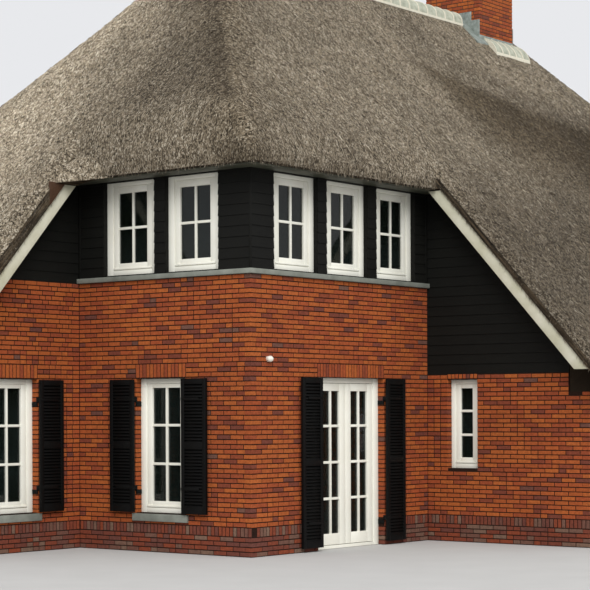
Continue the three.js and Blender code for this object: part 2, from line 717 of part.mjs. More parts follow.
function pintles(wall, o) {
  const pieces = [];
  for (const [edge, inward] of [[o.left, 1], [o.right, -1]]) {
    for (const knuckle of shutterSpan(o).knuckles) {
      const top = knuckle - PIVOT_GAP;
      const bottom = top - PINTLE_HEIGHT;
      const near = edge + inward * SLOPE_GAP;
      const along = (reach) => (inward > 0 ? [near, near + reach] : [near - reach, near]);
      const [a0, a1] = along(PINTLE_THICK);
      const [b0, b1] = along(PINTLE_REACH);
      pieces.push(slab(wall, rectangle(a0, a1, bottom, top), [],
        -SET_BACK - PINTLE_BITE, AXIS_OUT + PINTLE_DEPTH));
      pieces.push(slab(wall, rectangle(b0, b1, bottom, top), [],
        AXIS_OUT - PINTLE_DEPTH, AXIS_OUT + PINTLE_DEPTH));
    }
  }
  return pieces;
}

// One shutter, open flat against the wall, with the arms and knuckles that carry it
function shutter(wall, o, hinge) {
  const { bottom, top, knuckles } = shutterSpan(o);
  const edge = hinge === 'left' ? o.left : o.right;
  const out = hinge === 'left' ? -1 : 1;
  const at = (distance) => edge + out * distance;
  const strip = (from, to) => [Math.min(at(from), at(to)), Math.max(at(from), at(to))];
  const [u0, u1] = strip(-SHUTTER_OVERLAP, SHUTTER_WIDTH - SHUTTER_OVERLAP);
  const panel = slab(wall, rectangle(u0, u1, bottom, top), [],
    SHUTTER_OUT, SHUTTER_OUT + SHUTTER_THICK);
  const pieces = [panel];
  const [a0, a1] = strip(-SHUTTER_OVERLAP, -ARM_START);
  for (const z of knuckles) {
    pieces.push(slab(wall, rectangle(a0, a1, z, z + KNUCKLE_LENGTH), [],
      AXIS_OUT + ARM_OUT, SHUTTER_OUT + ARM_BITE));
    pieces.push(barrel(wall, at(-AXIS_IN), AXIS_OUT, z, KNUCKLE_LENGTH, KNUCKLE_RADIUS));
  }
  return join(...pieces);
}

function barrel(wall, u, out, z, length, radius) {
  const geometry = new THREE.CylinderGeometry(radius, radius, length, ROUND_SIDES);
  geometry.translate(u, z + length / 2, out);
  return geometry.applyMatrix4(wall);
}

function addShutters() {
  add('front_shutter_left', shutter(FRONT, frontWindow, 'left'), BLACK_PAINT);
  add('front_shutter_right', shutter(FRONT, frontWindow, 'right'), BLACK_PAINT);
  add('left_wing_shutter_far', shutter(LEFT_WING_SIDE, leftWingWindow, 'left'), BLACK_PAINT);
  add('left_wing_shutter_near', shutter(LEFT_WING_SIDE, leftWingWindow, 'right'), BLACK_PAINT);
  const doorSpan = { ...doorway, bottom: FLOOR_TOP };
  add('door_shutter_left', shutter(SIDE, doorSpan, 'left'), BLACK_PAINT);
  add('door_shutter_right', shutter(SIDE, doorSpan, 'right'), BLACK_PAINT);
}

// Windows

// A frame with its bars in front and a rebate behind them for the glass
function rebatedFrame(wall, outline, panes, rebate, front, bars, depth) {
  const barred = slab(wall, outline, panes, front - bars, front);
  const ring = slab(wall, outline, [rebate], front - depth, front - bars + LAP);
  return [barred, ring];
}

function addFrontWindow() {
  const o = frontWindow;
  const frame = rebatedFrame(FRONT, fitted(o), windowPanes(o), glazedArea(o, BAR),
    -SET_BACK, BAR_DEPTH, FRAME_DEPTH);
  add('front_window_frame', join(...frame, ...pintles(FRONT, o)), FRAME_PAINT);
  const back = -SET_BACK - BAR_DEPTH - GAP;
  add('front_window_glass', slab(FRONT, glazedArea(o, BAR - LAP), [], back - GLASS, back), PANE);
}

function addWingWindows() {
  const left = glazedRow(LEFT_WING_SIDE, [leftWingWindow], windowPanes, SHEET_MARGIN);
  add('left_wing_window', join(left, ...pintles(LEFT_WING_SIDE, leftWingWindow)), FRAME_PAINT);
  const narrowPanes = (o) => paneHoles(o, NARROW_FRAME_SIDE, FRAME_END, FRAME_END);
  const narrow = glazedRow(RIGHT_WING_SIDE, [narrowWindow], narrowPanes, SHEET_MARGIN);
  add('right_wing_narrow_window', narrow, FRAME_PAINT);
}

function addUpperWindows() {
  const frame = (wall, o) => slab(wall, fitted(o), windowPanes(o),
    -UPPER_SET_BACK - UPPER_DEPTH, -UPPER_SET_BACK);
  add('upper_front_window_right', frame(FRONT, upperFront[0]), FRAME_PAINT);
  add('upper_front_window_left', frame(FRONT, upperFront[1]), FRAME_PAINT);
  add('upper_side_window_near', frame(SIDE, upperSide[0]), FRAME_PAINT);
  add('upper_side_window_middle', frame(SIDE, upperSide[1]), FRAME_PAINT);
  add('upper_side_window_far', frame(SIDE, upperSide[2]), FRAME_PAINT);
}

// One bent sheet of glass inside the boarded walls closes the upper storey's windows
function addUpperGlass() {
  const outer = { x: CORNER_X - WALL - GAP, y: CORNER_Y + WALL + GAP };
  const inner = { x: outer.x - GLASS, y: outer.y + GLASS };
  const startX = upperFront[1].left - SHEET_MARGIN;
  const endY = upperSide[2].right + SHEET_MARGIN;
  add('upper_glass', thicken([
    [startX, outer.y], [outer.x, outer.y], [outer.x, endY],
    [inner.x, endY], [inner.x, inner.y], [startX, inner.y],
  ], [], UPPER_WINDOW.bottom + SHEET_MARGIN, UPPER_WINDOW.top), PANE);
}

// French doors

function addDoorFrame() {
  const { left, right, top } = doorway;
  const back = -DOOR_FRAME_BACK;
  const clear = rectangle(left + DOOR_JAMB, right - DOOR_JAMB, FLOOR_TOP, top - DOOR_HEAD);
  const outline = rectangle(left + GAP, right - GAP, 0, top - GAP);
  const frame = slab(SIDE, outline, [clear], back, -SET_BACK);
  const barrels = [];
  for (const [edge, inward] of [[left, 1], [right, -1]]) {
    const u = edge + inward * DOOR_AXIS_IN;
    for (const height of DOOR_HINGE_HEIGHTS) {
      const z = height - BARREL_LENGTH - PIVOT_GAP;
      barrels.push(...hingeHalf(u, -inward, back, z));
    }
  }
  const door = { ...doorway, bottom: FLOOR_TOP };
  add('french_door_frame', join(frame, ...barrels, ...pintles(SIDE, door)), FRAME_PAINT);
}

// One barrel of a door hinge with its plate, which reaches sideways along the wood it is let into
function hingeHalf(u, sideways, back, z) {
  const reach = [u, u + sideways * HINGE_PLATE_REACH].sort((a, b) => a - b);
  const strip = slab(SIDE, rectangle(reach[0], reach[1], z, z + BARREL_LENGTH), [],
    back - HINGE_PLATE, back + LAP);
  return [barrel(SIDE, u, -DOOR_AXIS_BACK, z, BARREL_LENGTH, BARREL_RADIUS), strip];
}

function addDoorLeaf(hinge) {
  const inward = hinge === 'left' ? 1 : -1;
  const edge = hinge === 'left' ? doorway.left : doorway.right;
  const hingeU = edge + inward * DOOR_AXIS_IN;
  const start = edge + inward * (DOOR_JAMB + LEAF_CLEAR);
  const [left, right] = [start, start + inward * LEAF_WIDTH].sort((a, b) => a - b);
  const leaf = { left, right, bottom: LEAF_BOTTOM, top: LEAF_TOP, cols: 2, rows: 4 };
  const panes = paneHoles(leaf, LEAF_STILE, LEAF_BOTTOM_RAIL, LEAF_TOP_RAIL);
  const light = (edge) => rectangle(left + LEAF_STILE - edge, right - LEAF_STILE + edge,
    leaf.bottom + LEAF_BOTTOM_RAIL - edge, leaf.top - LEAF_TOP_RAIL + edge);
  const pieces = rebatedFrame(SIDE, hole(leaf), panes, light(LEAF_REBATE),
    -LEAF_SET_BACK, LEAF_BAR_DEPTH, LEAF_DEPTH);
  const back = -LEAF_SET_BACK - LEAF_DEPTH;
  for (const z of DOOR_HINGE_HEIGHTS) {
    pieces.push(...hingeHalf(hingeU, inward, back, z));
  }
  add(`french_door_${hinge}`, join(...pieces), FRAME_PAINT);
  const glassFront = -LEAF_SET_BACK - LEAF_BAR_DEPTH - GAP;
  add(`french_door_${hinge}_glass`, slab(SIDE, light(LEAF_REBATE - LAP), [],
    glassFront - GLASS, glassFront), PANE);
}

addFloors();
addCornerWalls();
addWingWalls();
addOuterWalls();
addBoarding();
addSillBand();
addSills();
addThatch();
addRidgeCaps();
addChimney();
addBargeboards();
addSoffit();
addFrontWindow();
addWingWindows();
addUpperWindows();
addUpperGlass();
addDoorFrame();
addDoorLeaf('left');
addDoorLeaf('right');
addShutters();

export default cottage;
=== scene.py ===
import json
import math
import random

import bmesh
import bpy
import numpy as np
from mathutils import Matrix, Vector, noise


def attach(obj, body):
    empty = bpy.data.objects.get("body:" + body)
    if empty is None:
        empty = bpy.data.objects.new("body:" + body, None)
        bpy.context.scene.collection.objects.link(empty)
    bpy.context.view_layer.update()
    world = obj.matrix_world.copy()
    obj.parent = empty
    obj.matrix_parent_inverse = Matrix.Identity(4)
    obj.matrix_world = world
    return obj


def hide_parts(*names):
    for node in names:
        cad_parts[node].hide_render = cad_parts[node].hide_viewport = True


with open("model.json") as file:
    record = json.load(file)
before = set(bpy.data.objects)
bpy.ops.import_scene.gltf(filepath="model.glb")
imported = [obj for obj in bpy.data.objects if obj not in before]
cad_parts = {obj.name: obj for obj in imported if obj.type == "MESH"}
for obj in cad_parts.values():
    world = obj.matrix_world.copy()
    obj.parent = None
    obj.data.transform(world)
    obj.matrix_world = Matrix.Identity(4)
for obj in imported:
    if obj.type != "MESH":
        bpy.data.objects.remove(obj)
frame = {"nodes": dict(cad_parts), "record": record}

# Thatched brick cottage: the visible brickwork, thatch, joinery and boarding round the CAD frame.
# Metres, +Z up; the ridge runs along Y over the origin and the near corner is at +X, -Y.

bl_info = {
    "name": "Thatched Cottage",
    "version": (1, 0, 0),
    "blender": (4, 5, 0),
    "location": "View3D > Sidebar > Cottage",
    "description": "Builds the brickwork, thatch, joinery and boarding of a cottage",
    "category": "Add Mesh",
}

# The building's sizes, as in the part's source

HALF_WIDTH, HALF_LENGTH, WALL = 5.61, 9.78, 0.3
CORNER_X, CORNER_Y = 2.95, -7.12
LEFT_WING_X, RIGHT_WING_Y = -0.14, -3.12
BRICK_TOP, BAND_TOP, WING_BRICK_TOP = 3.65, 3.715, 2.4
RAISED_SEAT, LOW_SEAT = 5.03, 2.13
PITCH, RIDGE_PLANE, RIDGE_END, REAR_RIDGE_END = 1.09, 9.0, 4.42, 3.2
THATCH_DROP, EAVE_OUT, VERGE_OUT, VERGE_END_FLOOR = 0.444, 0.4, 0.35, 2.08
CREST_ROUND, HIP_ROUND_TOP, HIP_ROUND_LOW, HIP_ROUND_FALL = 0.15, 0.35, 0.9, 3.0
HIP_EDGE_SHARE, HIP_EDGE_FADE, RIGHT_VERGE_RISE = 0.45, 1.5, 0.194
LIP, LIP_SHARE, STEP = 0.25, 0.5, 0.005
STACK_HALF, STACK_FRONT, STACK_BACK, STACK_TOP = 0.555, 2.03, 3.11, 10.2
# The row of ridge caps ends 0.1 m before the part's, so that the lead before the stack is free
CAP_HALF, CAPS, SIDE_CAPS = 0.35, (-3.8, 1.8297), (2.175, 3.285)
UPPER_SET_BACK, SET_BACK = 0.08, 0.1
DOOR = (CORNER_Y + 1.393, CORNER_Y + 2.913, 0.0, 2.33)
DOOR_JAMB, DOOR_STEP = 0.115, 0.045
LEAF_SET_BACK, LEAF_DEPTH, LEAF_WIDTH, LEAF_CLEAR = 0.11, 0.0545, 0.6355, 0.005
LEAF_BOTTOM, LEAF_TOP = 0.053, 2.254
DOOR_AXIS_BACK, DOOR_AXIS_IN, DOOR_HINGES = 0.172, 0.118, (0.26, 1.15, 2.01)
SHUTTER_WIDTH, SHUTTER_THICK, SHUTTER_OUT = 0.43, 0.04, 0.045
SHUTTER_OVERLAP, SHUTTER_CLEAR = 0.016, 0.008
AXIS_IN, AXIS_OUT = 0.014, 0.002
KNUCKLE_RADIUS, KNUCKLE_LENGTH, PINTLE_END_GAP = 0.008, 0.06, 0.3

# Planes and edges that follow from them

HIP_PLANE = RIDGE_PLANE + PITCH * RIDGE_END
EAVE_X, EAVE_Y = HALF_WIDTH + EAVE_OUT, HALF_LENGTH + EAVE_OUT
REAR_PITCH = PITCH * EAVE_X / (EAVE_Y - REAR_RIDGE_END)
REAR_PLANE = RIDGE_PLANE + REAR_PITCH * REAR_RIDGE_END
LEFT_VERGE_X, FRONT_EAVE_Y = LEFT_WING_X + VERGE_OUT, CORNER_Y - EAVE_OUT
SIDE_EAVE_X, RIGHT_VERGE_Y = CORNER_X + EAVE_OUT, RIGHT_WING_Y - VERGE_OUT
WING_END = HALF_WIDTH - WALL - 0.012
OUTLINE = [(-EAVE_X, -EAVE_Y), (LEFT_VERGE_X, -EAVE_Y), (LEFT_VERGE_X, FRONT_EAVE_Y),
           (SIDE_EAVE_X, FRONT_EAVE_Y), (SIDE_EAVE_X, RIGHT_VERGE_Y), (EAVE_X, RIGHT_VERGE_Y),
           (EAVE_X, EAVE_Y), (-EAVE_X, EAVE_Y)]
EDGES = list(zip(OUTLINE, OUTLINE[1:] + OUTLINE[:1]))

# The camera stands level where the photograph was taken; its frame is shifted up as far as the
# photograph's framing needs
CAMERA_PLACE = (18.22, -25.48, 1.868)
CAMERA_AZIMUTH, CAMERA_ROLL = math.radians(38.4), math.radians(0.22)
CAMERA_LENS, CAMERA_SHIFT = 113.6, 0.198
LAMP_PLACE, LAMP_AIM = Vector((20, -22, 24)), Vector((0, -3, 3))


class Wall:
    """An upright face: u runs along it, z up and w outward from its outer face."""

    def __init__(self, out, offset):
        self.out = Vector((*out, 0))
        self.along = Vector((-out[1], out[0], 0))
        self.offset = offset

    def at(self, u, z, w):
        return self.along * u + self.out * (self.offset + w) + Vector((0, 0, z))


FRONT = Wall((0, -1), -CORNER_Y)
SIDE = Wall((1, 0), CORNER_X)
LEFT_WING = Wall((1, 0), LEFT_WING_X)
RIGHT_WING = Wall((0, -1), -RIGHT_WING_Y)


def opening(centre, width, bottom, top):
    return (centre - width / 2, centre + width / 2, bottom, top)


LOWER, UPPER, WING = (0.9, 0.52, 2.32), (0.935, 3.735, 5.005), (1.1, 0.85, 1.95)
FRONT_WINDOW = opening(CORNER_X - 1.57, *LOWER)
LEFT_WINDOW = opening(CORNER_Y - 1.25, *LOWER)
NARROW_WINDOW = opening(CORNER_X + 0.605, 0.51, 1.05, 2.32)
UPPER_FRONT = [opening(CORNER_X - s, *UPPER) for s in (1.022, 2.152)]
UPPER_SIDE = [opening(CORNER_Y + t, *UPPER) for t in (0.957, 2.092, 3.237)]
# The walls with rows of small windows: the wall, its ends, how many windows and their inset
ROWS = {
    "left_wing_front": (Wall((0, -1), HALF_LENGTH), -HALF_WIDTH, LEFT_WING_X, 2, WALL),
    "left_long": (Wall((-1, 0), HALF_WIDTH), -HALF_LENGTH, HALF_LENGTH, 4, WALL + WALL),
    "back": (Wall((0, 1), HALF_LENGTH), -HALF_WIDTH, HALF_WIDTH, 3, WALL),
    "right_long": (Wall((1, 0), HALF_WIDTH), RIGHT_WING_Y, HALF_LENGTH, 3, WALL + WALL),
}


def row_openings(name):
    _, start, end, count, inset = ROWS[name]
    start, span = start + inset, end - start - 2 * inset
    return [opening(start + span * (i + 0.5) / count, *WING) for i in range(count)]


# Colour and nodes


def linear(code):
    """An sRGB hex value as linear RGB."""
    parts = [((code >> shift) & 255) / 255 for shift in (16, 8, 0)]
    return tuple(c / 12.92 if c <= 0.04045 else ((c + 0.055) / 1.055) ** 2.4 for c in parts)


def node(material, kind, output=0, settings=None, **links):
    """Adds a node with its settings and ramp stops, sets or links its inputs by name or number, and
    gives one of its outputs. A plain number as a colour is a grey share."""
    tree = material.node_tree
    made = tree.nodes.new("ShaderNode" + kind)
    for name, value in (settings or {}).items():
        if name == "stops":
            while len(made.color_ramp.elements) < len(value):
                made.color_ramp.elements.new(0.5)
            for element, (place, code) in zip(made.color_ramp.elements, value):
                element.position = place
                element.color = (*(linear(code) if isinstance(code, int) else (code,) * 3), 1)
        else:
            setattr(made, name, value)
    for name, value in links.items():
        socket = made.inputs[int(name[1:]) if name[0] == "_" else name]
        if isinstance(value, bpy.types.NodeSocket):
            tree.links.new(value, socket)
        else:
            socket.default_value = value
    return made.outputs[output]


EVEN = (1, 1, 1)
TINT = {"data_type": "RGBA", "blend_type": "MULTIPLY"}


def grain(material, stretch, scale, detail, roughness):
    """Noise over the object's own place, stretched along its axes."""
    place = node(material, "TexCoord", "Object")
    place = node(material, "Mapping", Vector=place, Scale=stretch)
    return node(material, "TexNoise", Vector=place, Scale=scale, Detail=detail, Roughness=roughness)


def shaded(material, colour, share, value, low, high, start=0.3, end=0.7):
    """A colour made darker and paler by a value that is read as grey shares."""
    stops = {"stops": ((start, low), (end, high))}
    shade = node(material, "ValToRGB", settings=stops, Fac=value)
    return node(material, "Mix", 2, TINT, _0=share, _6=colour, _7=shade)


def by_share(material, name, first, second):
    """Two colours mixed by a share that the mesh carries for each point or corner."""
    share = node(material, "Attribute", "Fac", {"attribute_name": name})
    return node(material, "Mix", 2, {"data_type": "RGBA"}, _0=share, _6=first, _7=second)


def cells(material, place, scale, channel=0):
    """A random value for each cell of a field of closely packed, stretched cells."""
    place = node(material, "Mapping", Vector=place, Scale=scale)
    colour = node(material, "TexVoronoi", "Color", Vector=place, Scale=1.0)
    return node(material, "SeparateColor", channel, Color=colour)


def new_material(name, roughness, specular, metallic=0.0, alpha=1.0):
    material = bpy.data.materials.new(name)
    material.use_nodes = True
    inputs = material.node_tree.nodes["Principled BSDF"].inputs
    for socket, value in (("Roughness", roughness), ("Specular IOR Level", specular),
                          ("Metallic", metallic), ("Alpha", alpha)):
        inputs[socket].default_value = value
    return material


def finished(material, colour, height=None, distance=0.0, strength=1.0):
    """Gives the shader its colour and, from a height, its relief."""
    inputs = material.node_tree.nodes["Principled BSDF"].inputs
    material.node_tree.links.new(colour, inputs["Base Color"])
    if height:
        relief = node(material, "Bump", Height=height, Distance=distance, Strength=strength)
        material.node_tree.links.new(relief, inputs["Normal"])
    return material


# Materials. A scale of 100 gives grains of 10 mm; sand and grit finer than that would not show from
# the road, so they are drawn at 5 to 12 mm


def fired_brick():
    """Hand-moulded brick: sanded, mottled orange-red clay, some bricks fired darker or to purple."""
    material = new_material("fired_clay_brick_hand_moulded", 0.9, 0.2)
    tones = ((0.0, 0x954a25), (0.25, 0xa35729), (0.5, 0x954827), (0.68, 0x864127),
             (0.8, 0x733a29), (0.9, 0x623a31), (1.0, 0x725a4b))
    tone = node(material, "Attribute", "Fac", {"attribute_name": "tone"})
    colour = node(material, "ValToRGB", settings={"stops": tones}, Fac=tone)
    colour = shaded(material, colour, 0.6, grain(material, EVEN, 30.0, 4.0, 0.6), 0.6, 1.3)
    colour = shaded(material, colour, 0.4, grain(material, EVEN, 0.9, 3.0, 0.6), 0.75, 1.15)
    return finished(material, colour, grain(material, EVEN, 160.0, 3.0, 0.65), 0.003, 0.7)


def water_reed():
    """Weathered water reed: pale stalk ends among dark gaps. It is darker where it stays damp and, as
    painted shade, in the hollow below the chimney; paler where the slopes face the light, which is
    painted light. The cut sides show brown stalks from the side, darkened as painted shade."""
    material = new_material("water_reed_thatched", 0.95, 0.1)
    along = node(material, "UVMap", settings={"uv_map": "reed"})
    # Stalk ends are 5 to 8 mm thick; tufts of two sizes, 11 mm and 26 mm wide, stand for them
    ends = node(material, "Math", settings={"operation": "MULTIPLY"},
                _0=cells(material, along, (38.0, 18.0, 1.0), 1), _1=0.25)
    ends = node(material, "Math", settings={"operation": "MULTIPLY_ADD"},
                _0=cells(material, along, (92.0, 44.0, 1.0)), _1=0.75, _2=ends)
    stops = ((0.12, 0x453e33), (0.3, 0x706555), (0.5, 0x988b77), (0.7, 0xbbac93), (0.88, 0xe9dec8))
    colour = node(material, "ValToRGB", settings={"stops": stops}, Fac=ends)
    colour = shaded(material, colour, 0.8, grain(material, EVEN, 0.9, 4.0, 0.65), 0.78, 1.2)
    runs = node(material, "Mapping", Vector=along, Scale=(3.0, 0.35, 1.0))
    runs = node(material, "TexNoise", Vector=runs, Scale=1.0, Detail=3.0, Roughness=0.6)
    colour = shaded(material, colour, 0.7, runs, 0.85, 1.12)
    # A duller, darker copy where the pale-and-lit share is low: painted shade of the slopes that face away from
    # the light
    dull_and_shaded_copy = node(material, "Mix", 2, TINT, _0=1.0, _6=colour, _7=(*linear(0x8f8d8c), 1))
    colour = by_share(material, "pale", dull_and_shaded_copy, colour)
    # A darker copy of the reed for the damp-and-shade share: damp reed, and painted shade in the hollow below
    # the chimney
    damp_and_shade_copy = node(material, "Mix", 2, TINT, _0=1.0, _6=colour, _7=(*linear(0xbeb8ae), 1))
    colour = by_share(material, "damp", colour, damp_and_shade_copy)
    # The cut sides' dark brown is partly the stalks' own colour and partly painted shade under the eaves and
    # verges
    side = node(material, "ValToRGB", settings={"stops": ((0.1, 0x130f0a), (0.5, 0x2a2219), (0.9, 0x4a3e2f))},
                Fac=cells(material, along, (60.0, 3.0, 1.0), 2))
    colour = by_share(material, "underside", colour, side)
    return finished(material, colour, ends, 0.02, 0.8)


def tarred_board():
    """Black painted softwood boards: a dull film over sawn grain, greyer where the rain runs."""
    material = new_material("softwood_board_black_painted", 0.65, 0.15)
    sawn = grain(material, (2.0, 2.0, 60.0), 4.0, 4.0, 0.65)
    stops = ((0.3, 0x090907), (0.55, 0x10100d), (0.8, 0x1b1b16))
    colour = node(material, "ValToRGB", settings={"stops": stops}, Fac=sawn)
    soil = grain(material, EVEN, 1.6, 3.0, 0.6)
    colour = shaded(material, colour, 0.5, soil, 0.75, 1.3, 0.35, 0.65)
    return finished(material, colour, sawn, 0.0015, 0.5)


def sawn_stone():
    """Blue-grey limestone, sawn: fine grain, pale flecks and darker rain runs."""
    material = new_material("blue_limestone_sawn", 0.75, 0.2)
    fine = grain(material, EVEN, 120.0, 3.0, 0.6)
    colour = node(material, "ValToRGB", settings={"stops": ((0.3, 0x686b63), (0.7, 0x878a81))},
                  Fac=grain(material, EVEN, 3.0, 4.0, 0.6))
    colour = shaded(material, colour, 0.4, fine, 0.8, 1.15)
    return finished(material, colour, fine, 0.001, 0.4)


SANDY = (EVEN, 90.0, 4.0, 0.6)
DUST = (EVEN, 2.5, 4.0, 0.6)
BRUSHED = ((40.0, 40.0, 8.0), 6.0, 2.0, 0.5)
# Finishes of one pattern: the name, (roughness, specular, metallic, alpha), the colour's grain, its
# stops (two colours without places stand at 0.3 and 0.7) and the relief: its own grain or None for
# the colour's, its depth and its strength
PLAIN_FINISHES = {
    # Raked lime mortar: sandy and uneven, dark brown where the joint lies in deep shade
    "mortar": ("lime_mortar_raked_back", (0.95, 0.1), SANDY, (0x170d09, 0x33221a), (None, 0.002, 0.6)),
    "pale_mortar": ("lime_mortar_weathered", (0.95, 0.1), SANDY, (0x3d2c24, 0x5c483b), (None, 0.002, 0.6)),
    # Brushed oil paint on planed pine: an even film with a faint brush grain and settled dust
    "white": ("pine_cream_painted", (0.4, 0.5), DUST, (0xe8e6d8, 0xefeee2), (BRUSHED, 0.0004, 0.5)),
    # The bargeboards' duller, greyer cream is partly weathering and partly painted shade under the verge
    "weathered": ("pine_cream_weathered_and_shaded", (0.55, 0.3), DUST, (0xb9b69c, 0xd4d1be), (BRUSHED, 0.0004, 0.5)),
    # The eave soffit's dark olive grey is painted shade: it stands for the shade under the deep eave
    "olive_eave_shade": ("pine_olive_painted_eave_shade", (0.5, 0.5), DUST, (0x3b3d31, 0x4b4d3f), (BRUSHED, 0.0004, 0.5)),
    "black": ("pine_black_painted", (0.6, 0.15), DUST, (0x040404, 0x080807), (BRUSHED, 0.0004, 0.5)),
    # Floated concrete: pale grey with fine sand and cloudy drying marks
    "concrete": ("concrete_floated", (0.9, 0.3), (EVEN, 2.0, 5.0, 0.6), (0x86847c, 0xa3a199),
                 ((EVEN, 200.0, 2.0, 0.5), 0.001, 0.4)),
    # Pale ridge tiles: fired clay with a grey-green bloom
    "clay": ("ridge_clay_weathered", (0.8, 0.3), (EVEN, 9.0, 5.0, 0.6),
             ((0.3, 0x8d9080), (0.55, 0xa9ab9a), (0.75, 0xc0c0b0)), ((EVEN, 60.0, 4.0, 0.6), 0.002, 0.5)),
    # Cream cement pointing, pressed in by hand round the ridge tiles
    "pointing": ("cement_pointing_trowelled", (0.85, 0.3), (EVEN, 40.0, 4.0, 0.6), (0xb9b39f, 0xd8d3c2),
                 (None, 0.004, 0.6)),
    # Rolled sheet lead, dulled by rain: soft grey with pale oxide runs
    "lead": ("sheet_lead_oxidised", (0.6, 0.3, 0.3), (EVEN, 12.0, 5.0, 0.65), (0x6c736c, 0x9ba39d),
             ((EVEN, 7.0, 2.0, 0.5), 0.004, 0.5)),
    # Brown stained softwood under the verge: open grain along the board
    "brown": ("softwood_brown_stained", (0.7, 0.3), ((4.0, 40.0, 40.0), 3.0, 4.0, 0.6),
              (0x2a1a0e, 0x503622), (None, 0.001, 0.5)),
    # Float glass with sharp reflections; its near black colour is painted shade of a dark room behind it
    "glass": ("float_glass_dark_room_shade", (0.04, 0.4, 0.0, 0.6), (EVEN, 1.2, 1.0, 0.5), (0x10150f, 0x1a211f),
              (None, 0.01, 0.15)),
    # White moulded acrylic of the outdoor sensor, slightly yellowed and smooth
    "shell": ("acrylic_shell_moulded", (0.35, 0.5), (EVEN, 30.0, 3.0, 0.5), (0xd6d2c4, 0xebe8dd), None),
    # Matt pale studio floor
    "floor": ("studio_floor_matt", (0.95, 0.1), (EVEN, 1.5, 3.0, 0.5), (0xbab9b6, 0xbebdba), None),
}
MATERIALS = {}


def make_materials():
    MATERIALS.update(brick=fired_brick(), reed=water_reed(), board=tarred_board(), stone=sawn_stone())
    for kind, (name, shader, pattern, stops, relief) in PLAIN_FINISHES.items():
        material = new_material(name, *shader)
        value = grain(material, *pattern)
        height, *depth = relief or (None,)
        if relief:
            height = grain(material, *height) if height else value
        if not isinstance(stops[0], tuple):
            stops = tuple(zip((0.3, 0.7), stops))
        colour = node(material, "ValToRGB", settings={"stops": stops}, Fac=value)
        MATERIALS[kind] = finished(material, colour, height, *depth)


CAD_FINISHES = {
    "brick": "mortar", "thatch": "reed", "boarding": "board", "frame_paint": "white",
    "black_paint": "black", "stone": "stone", "concrete": "concrete", "ridge_clay": "clay",
    "lead": "lead", "pane": "glass",
}


# Modelling


def select_only(piece=None):
    """Leaves edit mode and selects one piece, or nothing."""
    if bpy.context.object and bpy.context.object.mode != "OBJECT":
        bpy.ops.object.mode_set(mode="OBJECT")
    bpy.ops.object.select_all(action="DESELECT")
    if piece:
        piece.select_set(True)
        bpy.context.view_layer.objects.active = piece


def new_piece(name, mesh):
    piece = bpy.data.objects.new(name, mesh)
    bpy.context.scene.collection.objects.link(piece)
    return piece


def begin(name):
    """A new empty mesh at the origin, open in edit mode, to which primitives are added."""
    piece = new_piece(name, bpy.data.meshes.new(name))
    select_only(piece)
    bpy.ops.object.mode_set(mode="EDIT")
    return piece


def block(wall, u, z, w, tilt=0.0):
    """Adds a box to the mesh in edit mode, from its spans along, up and out of a wall."""
    low, high = wall.at(u[0], z[0], w[0]), wall.at(u[1], z[1], w[1])
    size = [abs(b - a) for a, b in zip(low, high)]
    bpy.ops.mesh.primitive_cube_add(
        size=1, location=(low + high) / 2, scale=size, rotation=wall.along * -tilt)


def loft_faces(rings, corners):
    """The faces of a closed body through a number of rings."""
    faces = [list(range(corners)), [rings * corners - 1 - i for i in range(corners)]]
    for k in range(rings - 1):
        for i in range(corners):
            near, beside = k * corners + i, k * corners + (i + 1) % corners
            faces.append([beside, near, near + corners, beside + corners])
    return faces


def loft(*rings):
    """Adds a closed body through rings of points to the mesh in edit mode."""
    data = bpy.context.object.data
    mesh = bmesh.from_edit_mesh(data)
    verts = [mesh.verts.new(p) for ring in rings for p in ring]
    faces = [mesh.faces.new([verts[i] for i in face]) for face in loft_faces(len(rings), len(rings[0]))]
    bmesh.ops.recalc_face_normals(mesh, faces=faces)
    bmesh.update_edit_mesh(data)


def prism(points, vector):
    """Adds a closed prism: a flat outline and the same moved by a vector."""
    loft(points, [p + Vector(vector) for p in points])


def frame_of(wall, area, widths, w):
    """Adds the four members of a frame, of (side, foot, head) widths, and gives the area in them."""
    left, right, bottom, top = area
    side, foot, head = widths
    inner = (left + side, right - side, bottom + foot, top - head)
    block(wall, (left, inner[0]), (bottom, top), w)
    block(wall, (inner[1], right), (bottom, top), w)
    block(wall, inner[:2], (bottom, inner[2]), w)
    block(wall, inner[:2], (inner[3], top), w)
    return inner


def finish_piece(piece, kind, body="house", bevel=0.0, replaces=(), angle=35):
    """Rounds the edges, then gives the piece its material, body and the nodes that it replaces."""
    select_only(piece)
    if bevel:
        bpy.ops.object.modifier_add(type="BEVEL")
        made = piece.modifiers[-1]
        made.width, made.segments = bevel, 2
        made.limit_method, made.angle_limit = "ANGLE", math.radians(30)
        bpy.ops.object.modifier_apply(modifier=made.name)
    bpy.ops.object.shade_smooth_by_angle(angle=math.radians(angle))
    piece.data.materials.append(MATERIALS[kind])
    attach(piece, body)
    if replaces:
        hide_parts(*replaces)
    piece.select_set(False)


def length(name, description, default):
    return bpy.props.FloatProperty(name=name, description=description, default=default, unit="LENGTH")


# Brickwork

# The rowlock's course, the soldiers' height in courses, and where dark and stack bricks end and start
ROWLOCK = 4
SOLDIER_COURSES = 3
PLINTH_TOP = 0.37
STACK_FOOT = 8.2


class BrickSettings(bpy.types.PropertyGroup):
    course: length("Course", "Height of a course with its joint", BRICK_TOP / 58)
    joint: length("Joint", "Thickness of the mortar joint", 0.013)
    brick_length: length("Brick length", "Length of a brick", 0.209)
    brick_depth: length("Brick width", "Width of a brick", 0.099)
    brick_height: length("Brick height", "Height of a brick", 0.05)
    proud: length("Proud", "How far bricks stand out from the mortar", 0.006)


